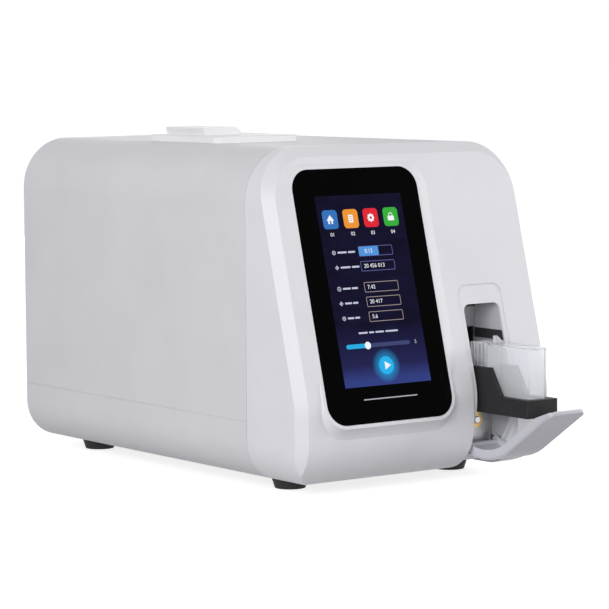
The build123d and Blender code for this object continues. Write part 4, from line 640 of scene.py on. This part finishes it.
def makeScreen(where, look, glow):
    low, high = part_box("touch_glass")
    half = where["glassHeight"] / 2
    middle = Vector((
        (low.x + high.x) / 2,
        low.y + half * math.sin(faceTilt),
        high.z - half * math.cos(faceTilt),
    ))
    across = Vector((1, 0, 0))
    rise = Vector((0, math.sin(faceTilt), math.cos(faceTilt)))
    out = across.cross(rise)
    turn = Matrix((across, rise, out)).transposed().to_4x4()
    place = Matrix.Translation(middle) @ turn @ Matrix.Translation((*where["shift"], 0))
    step = where["layer"]
    layers = {}

    def layer(name):
        return layers.setdefault(name, bmesh.new())

    def heights(level):
        return level * step, (level + 1) * step

    def bar(name, x, y, size, corner, level, line=0):
        width, height = size
        addBar(
            layer(name), (x * mm, y * mm), (width * mm, height * mm), corner * mm,
            *heights(level), line * mm,
        )

    def disc(name, x, y, radius, level, hole=0, **shape):
        addDisc(layer(name), (x * mm, y * mm), radius * mm, *heights(level), hole=hole * mm, **shape)

    def digits(name, text, x, y, size, level, align="LEFT"):
        addDigits(layer(name), text, (x * mm, y * mm), size * mm, *heights(level), align)

    bar("picture", 0, 0, [length / mm for length in where["size"]], 0, 0)
    iconNames = ("iconBlue", "iconOrange", "iconRed", "iconGreen")
    for index, (name, x) in enumerate(zip(iconNames, look["iconAcross"])):
        bar(name, x, look["iconUp"], look["iconSize"], look["iconRound"], 1)
        digits("glyphWhite", f"0{index + 1}", x, look["labelUp"], look["smallDigits"], 1, "CENTER")

    up = look["iconUp"]
    houseX, sheetX, gearX, lockX = look["iconAcross"]
    roof, wall = look["roof"], look["houseWall"]
    disc("glyphWhite", houseX, up + roof["up"], roof["radius"], 2, segments=3, squeeze=roof["squeeze"])
    for side in (-1, 1):
        bar("glyphWhite", houseX + side * wall["across"], up + wall["up"], wall["size"], 0, 2)
    sheet = look["sheet"]
    bar("glyphWhite", sheetX, up, sheet["size"], sheet["round"], 2)
    for lift in sheet["lineUp"]:
        bar("iconOrange", sheetX, up + lift, sheet["lineSize"], 0, 3)
    gear = look["gear"]
    disc("glyphWhite", gearX, up, gear["radius"], 2, hole=gear["hole"])
    for index in range(gear["teeth"]):
        angle = index * 2 * math.pi / gear["teeth"]
        toothX = gearX + gear["radius"] * math.cos(angle)
        toothUp = up + gear["radius"] * math.sin(angle)
        disc("glyphWhite", toothX, toothUp, gear["tooth"], 2, segments=4, turn=angle)
    body, bow = look["lockBody"], look["lockBow"]
    bar("glyphWhite", lockX, up + body["up"], body["size"], body["round"], 2)
    disc("glyphWhite", lockX, up + bow["up"], bow["radius"], 2, hole=bow["hole"])

    sign, dot = look["rowSign"], look["rowDot"]
    for index, up in enumerate(look["rowUp"]):
        start, length = look["rowText"][index]
        signX = start - sign["before"]
        sides = look["rowSides"][index]
        disc("textPale", signX, up, sign["radius"], 1, hole=sign["hole"], segments=sides)
        disc("textPale", signX, up, dot["radius"], 1, segments=dot["sides"])
        for first, share in look["rowWords"]:
            width = length * share
            wordX = start + length * first + width / 2
            bar("textPale", wordX, up, (width, look["textHeight"]), look["textRound"], 1)
        frameColour = "lineBlue" if index < 2 else "lineTan"
        bar(
            frameColour, look["fieldAcross"], up, look["fieldSize"], look["fieldRound"], 1,
            look["fieldLine"],
        )
        digitsX = look["fieldAcross"] + look["rowDigitsShift"][index]
        digits("glyphWhite", look["rowDigits"][index], digitsX, up, look["digitSize"], 2)
    left = look["fieldAcross"] - look["fieldSize"][0] / 2
    filled = look["filled"]
    bar("fieldBlue", left + filled["across"], look["rowUp"][0], filled["size"], filled["round"], 1)
    for first, width in look["noteWords"]:
        wordX = first + width / 2
        bar("textPale", wordX, look["noteUp"], (width, look["noteHeight"]), look["textRound"], 1)

    start, end = look["sliderEnds"]
    knob = look["knobAcross"]
    up = look["sliderUp"]
    thick, corner = look["sliderFilled"]
    bar("sliderCyan", (start + knob) / 2, up, (knob - start, thick), corner, 1)
    thick, corner = look["sliderEmpty"]
    bar("sliderTrack", (end + knob) / 2, up, (end - knob, thick), corner, 1)
    disc("glyphWhite", knob, up, look["knobRadius"], 3)
    digits("textPale", "5", look["sliderDigitAcross"], up, look["smallDigits"], 1, "CENTER")
    x, up = look["playAt"]
    play, sign = look["playDisc"], look["playSign"]
    disc("playCyan", x, up, play["radius"], 1, segments=play["sides"])
    disc("glyphWhite", x + sign["across"], up, sign["radius"], 2, segments=3, turn=-math.pi / 2)

    for name, bm in layers.items():
        bmesh.ops.transform(bm, matrix=place, verts=bm.verts)
        pieceName = "screen" + name[0].upper() + name[1:]
        if name == "picture":
            material = glowingPicture(pieceName, place, where, look, glow)
        else:
            material = litColour(pieceName, screenColours[name], glow)
        finishPiece(pieceName, bm, material, "housing")


makeScreen(screenPlace, screenPicture, screenGlow)
print("screen picture laid on the glass")


# wire guard over the fan
fanGuard = {
    "ringRadii": (9.0, 15.5, 22.0, 28.5),
    "wire": 0.72,
    "spokeFrom": 8.0,
    "spokeTo": 32.4,
    "holeSpacing": 50.0,
    "eyeRadius": 3.4,
    "eyeSteps": 40,
    "smoothBelow": 40,
}


def makeFanGuard(look):
    low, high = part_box("fan_guard")
    centre = (low + high) / 2
    wire = look["wire"] * mm
    middle = Vector((centre.x, high.y - wire, centre.z))
    facing = turnTo((0, 1, 0))
    bm = bmesh.new()
    for radius in look["ringRadii"]:
        addWireRing(bm, radius * mm, wire, Matrix.Translation(middle) @ facing)
    for index in range(4):
        angle = math.pi / 4 + index * math.pi / 2
        ray = Vector((math.cos(angle), 0, math.sin(angle)))
        addRod(bm, middle + ray * look["spokeFrom"] * mm, middle + ray * look["spokeTo"] * mm, wire)
        eye = middle + ray * look["holeSpacing"] * mm / math.sqrt(2)
        eyePlace = Matrix.Translation(eye) @ facing
        addWireRing(bm, look["eyeRadius"] * mm, wire, eyePlace, look["eyeSteps"])
    piece = finishPiece(
        "fanGuardWires", bm, materials["bright_steel"], "housing", look["smoothBelow"],
    )
    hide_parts("fan_guard")


makeFanGuard(fanGuard)


# fan rotor with a cup-shaped hub and cambered, twisted blades
fanRotor = {
    "hubRadius": 12.0,
    "hubEdge": 1.4,
    "hubShoulder": 0.35,  # share of the edge cut off at its middle
    "hubWall": 1.0,
    "hubEnd": 1.1,
    "blades": 7,
    "bladeRoot": 11.3,
    "bladeTip": 26.4,
    "chord": 12.6,
    "camber": 48.0,
    "rootAngle": 42.0,
    "twist": 14.0,
    "bladeSteps": 6,
    "chordSteps": 8,
    "thickness": 1.0,
    "smoothBelow": 35,
}


def addBlade(bm, look, turn, place):
    part = bmesh.new()
    camber = math.radians(look["camber"])
    bend = look["chord"] * mm / (2 * math.sin(camber / 2))
    first = part.verts.new((look["bladeRoot"] * mm, 0, bend))
    halfBack = Matrix.Rotation(-camber / 2, 3, "X")
    bmesh.ops.rotate(part, cent=(0, 0, 0), matrix=halfBack, verts=[first])
    bmesh.ops.spin(
        part, geom=[first], cent=(0, 0, 0), axis=(1, 0, 0), angle=camber, steps=look["chordSteps"],
    )
    bmesh.ops.translate(part, vec=(0, 0, -bend * math.cos(camber / 4)), verts=part.verts)
    lean = math.radians(look["rootAngle"])
    bmesh.ops.rotate(part, cent=(0, 0, 0), matrix=Matrix.Rotation(lean, 3, "X"), verts=part.verts)
    edges = part.edges[:]
    step = (look["bladeTip"] - look["bladeRoot"]) * mm / look["bladeSteps"]
    turnBack = Matrix.Rotation(-math.radians(look["twist"]) / look["bladeSteps"], 3, "X")
    for _ in range(look["bladeSteps"]):
        grown = bmesh.ops.extrude_edge_only(part, edges=edges)["geom"]
        verts = [item for item in grown if isinstance(item, bmesh.types.BMVert)]
        edges = [item for item in grown if isinstance(item, bmesh.types.BMEdge)]
        bmesh.ops.translate(part, vec=(step, 0, 0), verts=verts)
        bmesh.ops.rotate(part, cent=(0, 0, 0), matrix=turnBack, verts=verts)
    bmesh.ops.recalc_face_normals(part, faces=part.faces)
    bmesh.ops.solidify(part, geom=part.faces[:], thickness=look["thickness"] * mm)
    bmesh.ops.recalc_face_normals(part, faces=part.faces)
    joinInto(bm, part, place @ Matrix.Rotation(turn, 4, "Z"))


def makeFanRotor(look):
    low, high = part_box("fan_rotor")
    centre = (low + high) / 2
    length = high.y - low.y
    radius, edge = look["hubRadius"] * mm, look["hubEdge"] * mm
    wall, end = look["hubWall"] * mm, look["hubEnd"] * mm
    shoulder = edge * look["hubShoulder"]
    place = Matrix.Translation((centre.x, low.y, centre.z)) @ turnTo((0, 1, 0))
    bm = bmesh.new()
    addTurned(bm, (
        (0, length), (radius - 2 * edge, length), (radius - shoulder, length - shoulder),
        (radius, length - edge), (radius, 0), (radius - wall, 0), (radius - wall, length - end),
        (0, length - end),
    ), place)
    middle = place @ Matrix.Translation((0, 0, length / 2))
    for index in range(look["blades"]):
        addBlade(bm, look, 2 * math.pi * index / look["blades"], middle)
    piece = finishPiece(
        "fanRotorBlades", bm, materials["fan_black"], "fan", look["smoothBelow"],
    )
    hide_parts("fan_rotor")


makeFanRotor(fanRotor)


# lead screw with a steep eight-start thread between plain ends
leadScrew = {
    "crestRadius": 3.0,
    "rootRadius": 2.55,
    "starts": 8,
    "lead": 20.0,
    "stepLength": 1.0,
    "plainEnds": (14.0, 6.0),
    "chamfer": 0.5,
    "smoothBelow": 30,
}


def makeLeadScrew(look):
    low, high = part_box("lead_screw")
    centre = (low + high) / 2
    length = high.y - low.y
    place = Matrix.Translation((centre.x, low.y, centre.z)) @ turnTo((0, 1, 0))
    front, rear = (size * mm for size in look["plainEnds"])
    crest = look["crestRadius"] * mm
    bm = bmesh.new()
    part = bmesh.new()
    bmesh.ops.create_circle(part, cap_ends=True, segments=look["starts"] * 4, radius=crest)
    for index, vert in enumerate(part.verts):
        if index % 4 > 1:
            bmesh.ops.scale(part, vec=(look["rootRadius"] * mm / crest,) * 3, verts=[vert])
    threaded = length - front - rear
    steps = round(threaded / (look["stepLength"] * mm))
    turn = Matrix.Rotation(2 * math.pi * threaded / steps / (look["lead"] * mm), 3, "Z")
    edges = part.edges[:]
    for _ in range(steps):
        grown = bmesh.ops.extrude_edge_only(part, edges=edges)["geom"]
        verts = [item for item in grown if isinstance(item, bmesh.types.BMVert)]
        edges = [item for item in grown if isinstance(item, bmesh.types.BMEdge)]
        bmesh.ops.translate(part, vec=(0, 0, threaded / steps), verts=verts)
        bmesh.ops.rotate(part, cent=(0, 0, 0), matrix=turn, verts=verts)
    bmesh.ops.contextual_create(part, geom=edges)
    bmesh.ops.recalc_face_normals(part, faces=part.faces)
    joinInto(bm, part, place @ Matrix.Translation((0, 0, front)))
    chamfer = look["chamfer"] * mm
    addTurned(bm, (
        (0, 0), (crest - chamfer, 0), (crest, chamfer), (crest, front), (0, front),
    ), place)
    tail = length - rear
    addTurned(bm, (
        (0, tail), (crest, tail), (crest, length - chamfer), (crest - chamfer, length), (0, length),
    ), place)
    piece = finishPiece(
        "leadScrewThread", bm, materials["bright_steel"], "drive_screw",
        look["smoothBelow"],
    )
    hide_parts("lead_screw")


makeLeadScrew(leadScrew)


# marks on the power rocker, contacts in the sockets, tongues in the ports
rearDetails = {
    "rockerPivot": (-18.0, 248.958, 97.0),
    "rockerRadius": 9.6,
    "rockerMiddle": 4.0,
    "rockerThrow": 14.0,
    "markSize": 5.2,
    "markDepth": 0.12,
    "markColour": (0.82, 0.82, 0.82),
    "usbPlace": (-66.0, 149.0),
    "usbPitch": 9.0,
    "usbWidth": 12.8,
    "tongueFinish": {"colour": (0.03, 0.12, 0.42), "roughness": 0.4},
    "tongueInset": 1.1,
    "tongueUp": 0.8,
    "tongueHalf": 0.9,
    "tongueBack": 1.9,
    "tongueEdge": 0.2,
    "tongueClear": 0.1,
    "tongueSmooth": 30,
    "networkPlace": (-34.0, 149.0),
    "networkHeight": 9.0,
    "contactCount": 8,
    "contactPitch": 1.02,
    "contactRadius": 0.22,
    "contactBelowTop": 0.3,
    "contactDrop": 2.6,
    "contactBack": 3.0,
    "contactSides": 8,
    "contactClear": 0.2,
    "contactSmooth": 40,
    "portDepth": 15.0,
    "panelThickness": 1.5,
}


def paintedMark(name, colour):
    # white pad-printed ink
    material, tree, shader = newMaterial(name)
    inkScale, thinInk = 900, 0.92
    patches = noiseAt(tree, objectPoint(tree), inkScale)
    tint = mixColours(tree, spread(tree, patches, 0, 1), shade(colour, thinInk), colour)
    tree.links.new(tint, shader.inputs["Base Color"])
    tree.links.new(spread(tree, patches, 0.4, 0.55), shader.inputs["Roughness"])
    return material


def makeRockerMarks(look):
    tilt = math.radians(look["rockerThrow"] / 2)
    pivot = Vector(look["rockerPivot"]) * mm
    out = Vector((0, math.cos(tilt), math.sin(tilt)))
    up = Vector((0, -math.sin(tilt), math.cos(tilt)))
    rise = look["rockerRadius"] * math.tan(tilt)
    across = Vector((-1, 0, 0))
    middle = pivot + out * (look["rockerMiddle"] + rise / 2) * mm
    bm = bmesh.new()
    for side, text, lean in ((1, "I", 0.0), (-1, "O", 2 * tilt)):
        spot = middle + up * side * look["rockerRadius"] * mm / 2
        facing = Vector((0, math.cos(lean), math.sin(lean)))
        top = facing.cross(across)
        turn = Matrix((across, top, facing)).transposed().to_4x4()
        part = bmesh.new()
        addDigits(part, text, (0, 0), look["markSize"] * mm, 0, look["markDepth"] * mm, "CENTER")
        joinInto(bm, part, Matrix.Translation(spot) @ turn)
    ink = paintedMark("markWhite", look["markColour"])
    finishPiece("rockerMarks", bm, ink, "rocker")


def makeUsbTongues(look):
    inner = rearY - look["panelThickness"] * mm
    x, z = (value * mm for value in look["usbPlace"])
    halfWidth = (look["usbWidth"] / 2 - look["tongueInset"]) * mm
    halfHeight = look["tongueHalf"] * mm
    deep = inner - (look["portDepth"] - look["tongueClear"]) * mm
    near = inner - look["tongueBack"] * mm
    bm = bmesh.new()
    for side in (-0.5, 0.5):
        middle = z + (side * look["usbPitch"] + look["tongueUp"]) * mm
        low = (x - halfWidth, deep, middle - halfHeight)
        high = (x + halfWidth, near, middle + halfHeight)
        addBlock(bm, low, high, look["tongueEdge"] * mm)
    tongue = makeFinish("portTongue", look["tongueFinish"])
    finishPiece("usbTongues", bm, tongue, "housing", look["tongueSmooth"])


def makeNetworkContacts(look):
    inner = rearY - look["panelThickness"] * mm
    x, z = (value * mm for value in look["networkPlace"])
    high = z + (look["networkHeight"] / 2 - look["contactBelowTop"]) * mm
    deep = inner - (look["portDepth"] - look["contactClear"]) * mm
    near = inner - look["contactBack"] * mm
    bm = bmesh.new()
    for index in range(look["contactCount"]):
        row = x + (index - (look["contactCount"] - 1) / 2) * look["contactPitch"] * mm
        end = (row, deep, high - look["contactDrop"] * mm)
        addRod(bm, (row, near, high), end, look["contactRadius"] * mm, look["contactSides"])
    brass = materials["brass_parts"]
    finishPiece("networkContacts", bm, brass, "housing", look["contactSmooth"])


makeRockerMarks(rearDetails)
makeUsbTongues(rearDetails)
makeNetworkContacts(rearDetails)
print("detail pieces made")


# studio: pale floor, soft lights and a white surround
studio = {
    "floorSize": 30.0,
    "floorColour": (0.55, 0.55, 0.555),
    "floorRoughness": 0.9,
    "floorPatches": 3,
    "floorShades": (0.99, 1.01),
    "floorLift": 0.78,  # light added where the floor is seen, so that it shows white
    "surround": 0.36,  # the white room's light on the object
    "aim": (0, 0, 0.13),
    # place, size, strength in watts
    "lamps": {
        "frontLeft": ((-2.2, -1.5, 0.95), 1.4, 40.0),
        "frontRight": ((2.5, -1.35, 0.9), 1.4, 31.0),
        "behind": ((0.9, 2.8, 0.5), 2.0, 13.0),
    },
}


def seenRays(tree):
    # one for what the camera sees straight on, in a reflection or through clear plastic
    rays = tree.nodes.new("ShaderNodeLightPath")
    most = rays.outputs["Is Camera Ray"]
    for name in ("Is Glossy Ray", "Is Transmission Ray"):
        add = tree.nodes.new("ShaderNodeMath")
        add.operation = "MAXIMUM"
        tree.links.new(most, add.inputs[0])
        tree.links.new(rays.outputs[name], add.inputs[1])
        most = add.outputs[0]
    return most


def makeFloor(look):
    bm = bmesh.new()
    bmesh.ops.create_grid(bm, x_segments=1, y_segments=1, size=look["floorSize"])
    mesh = bpy.data.meshes.new("floor")
    bm.to_mesh(mesh)
    bm.free()
    floor = bpy.data.objects.new("floor", mesh)
    bpy.context.collection.objects.link(floor)
    material, tree, shader = newMaterial("floorPaint")
    output = tree.nodes["Material Output"]
    patches = noiseAt(tree, objectPoint(tree), look["floorPatches"])
    darker, lighter = (shade(look["floorColour"], amount) for amount in look["floorShades"])
    tint = mixColours(tree, spread(tree, patches, 0, 1), darker, lighter)
    tree.links.new(tint, shader.inputs["Base Color"])
    shader.inputs["Roughness"].default_value = look["floorRoughness"]
    lift = tree.nodes.new("ShaderNodeEmission")
    strength = spread(tree, seenRays(tree), 0, look["floorLift"], 0, 1)
    tree.links.new(strength, lift.inputs["Strength"])
    both = tree.nodes.new("ShaderNodeAddShader")
    tree.links.new(shader.outputs[0], both.inputs[0])
    tree.links.new(lift.outputs[0], both.inputs[1])
    tree.links.new(both.outputs[0], output.inputs["Surface"])
    mesh.materials.append(material)


def makeSurround(look):
    world = bpy.data.worlds.new("surround")
    world.use_nodes = True
    bpy.context.scene.world = world
    tree = world.node_tree
    background = tree.nodes["Background"]
    background.inputs["Color"].default_value = (1, 1, 1, 1)
    strength = spread(tree, seenRays(tree), look["surround"], 1.0, 0, 1)
    tree.links.new(strength, background.inputs["Strength"])


def makeLamps(look):
    for name, (place, size, power) in look["lamps"].items():
        data = bpy.data.lights.new(name, "AREA")
        data.energy = power
        data.size = size
        lamp = bpy.data.objects.new(name, data)
        bpy.context.collection.objects.link(lamp)
        lamp.location = place
        towards = Vector(look["aim"]) - Vector(place)
        lamp.rotation_euler = towards.to_track_quat("-Z", "Y").to_euler()


bpy.context.scene.view_settings.view_transform = "Standard"
makeFloor(studio)
makeSurround(studio)
makeLamps(studio)
print("studio lit")
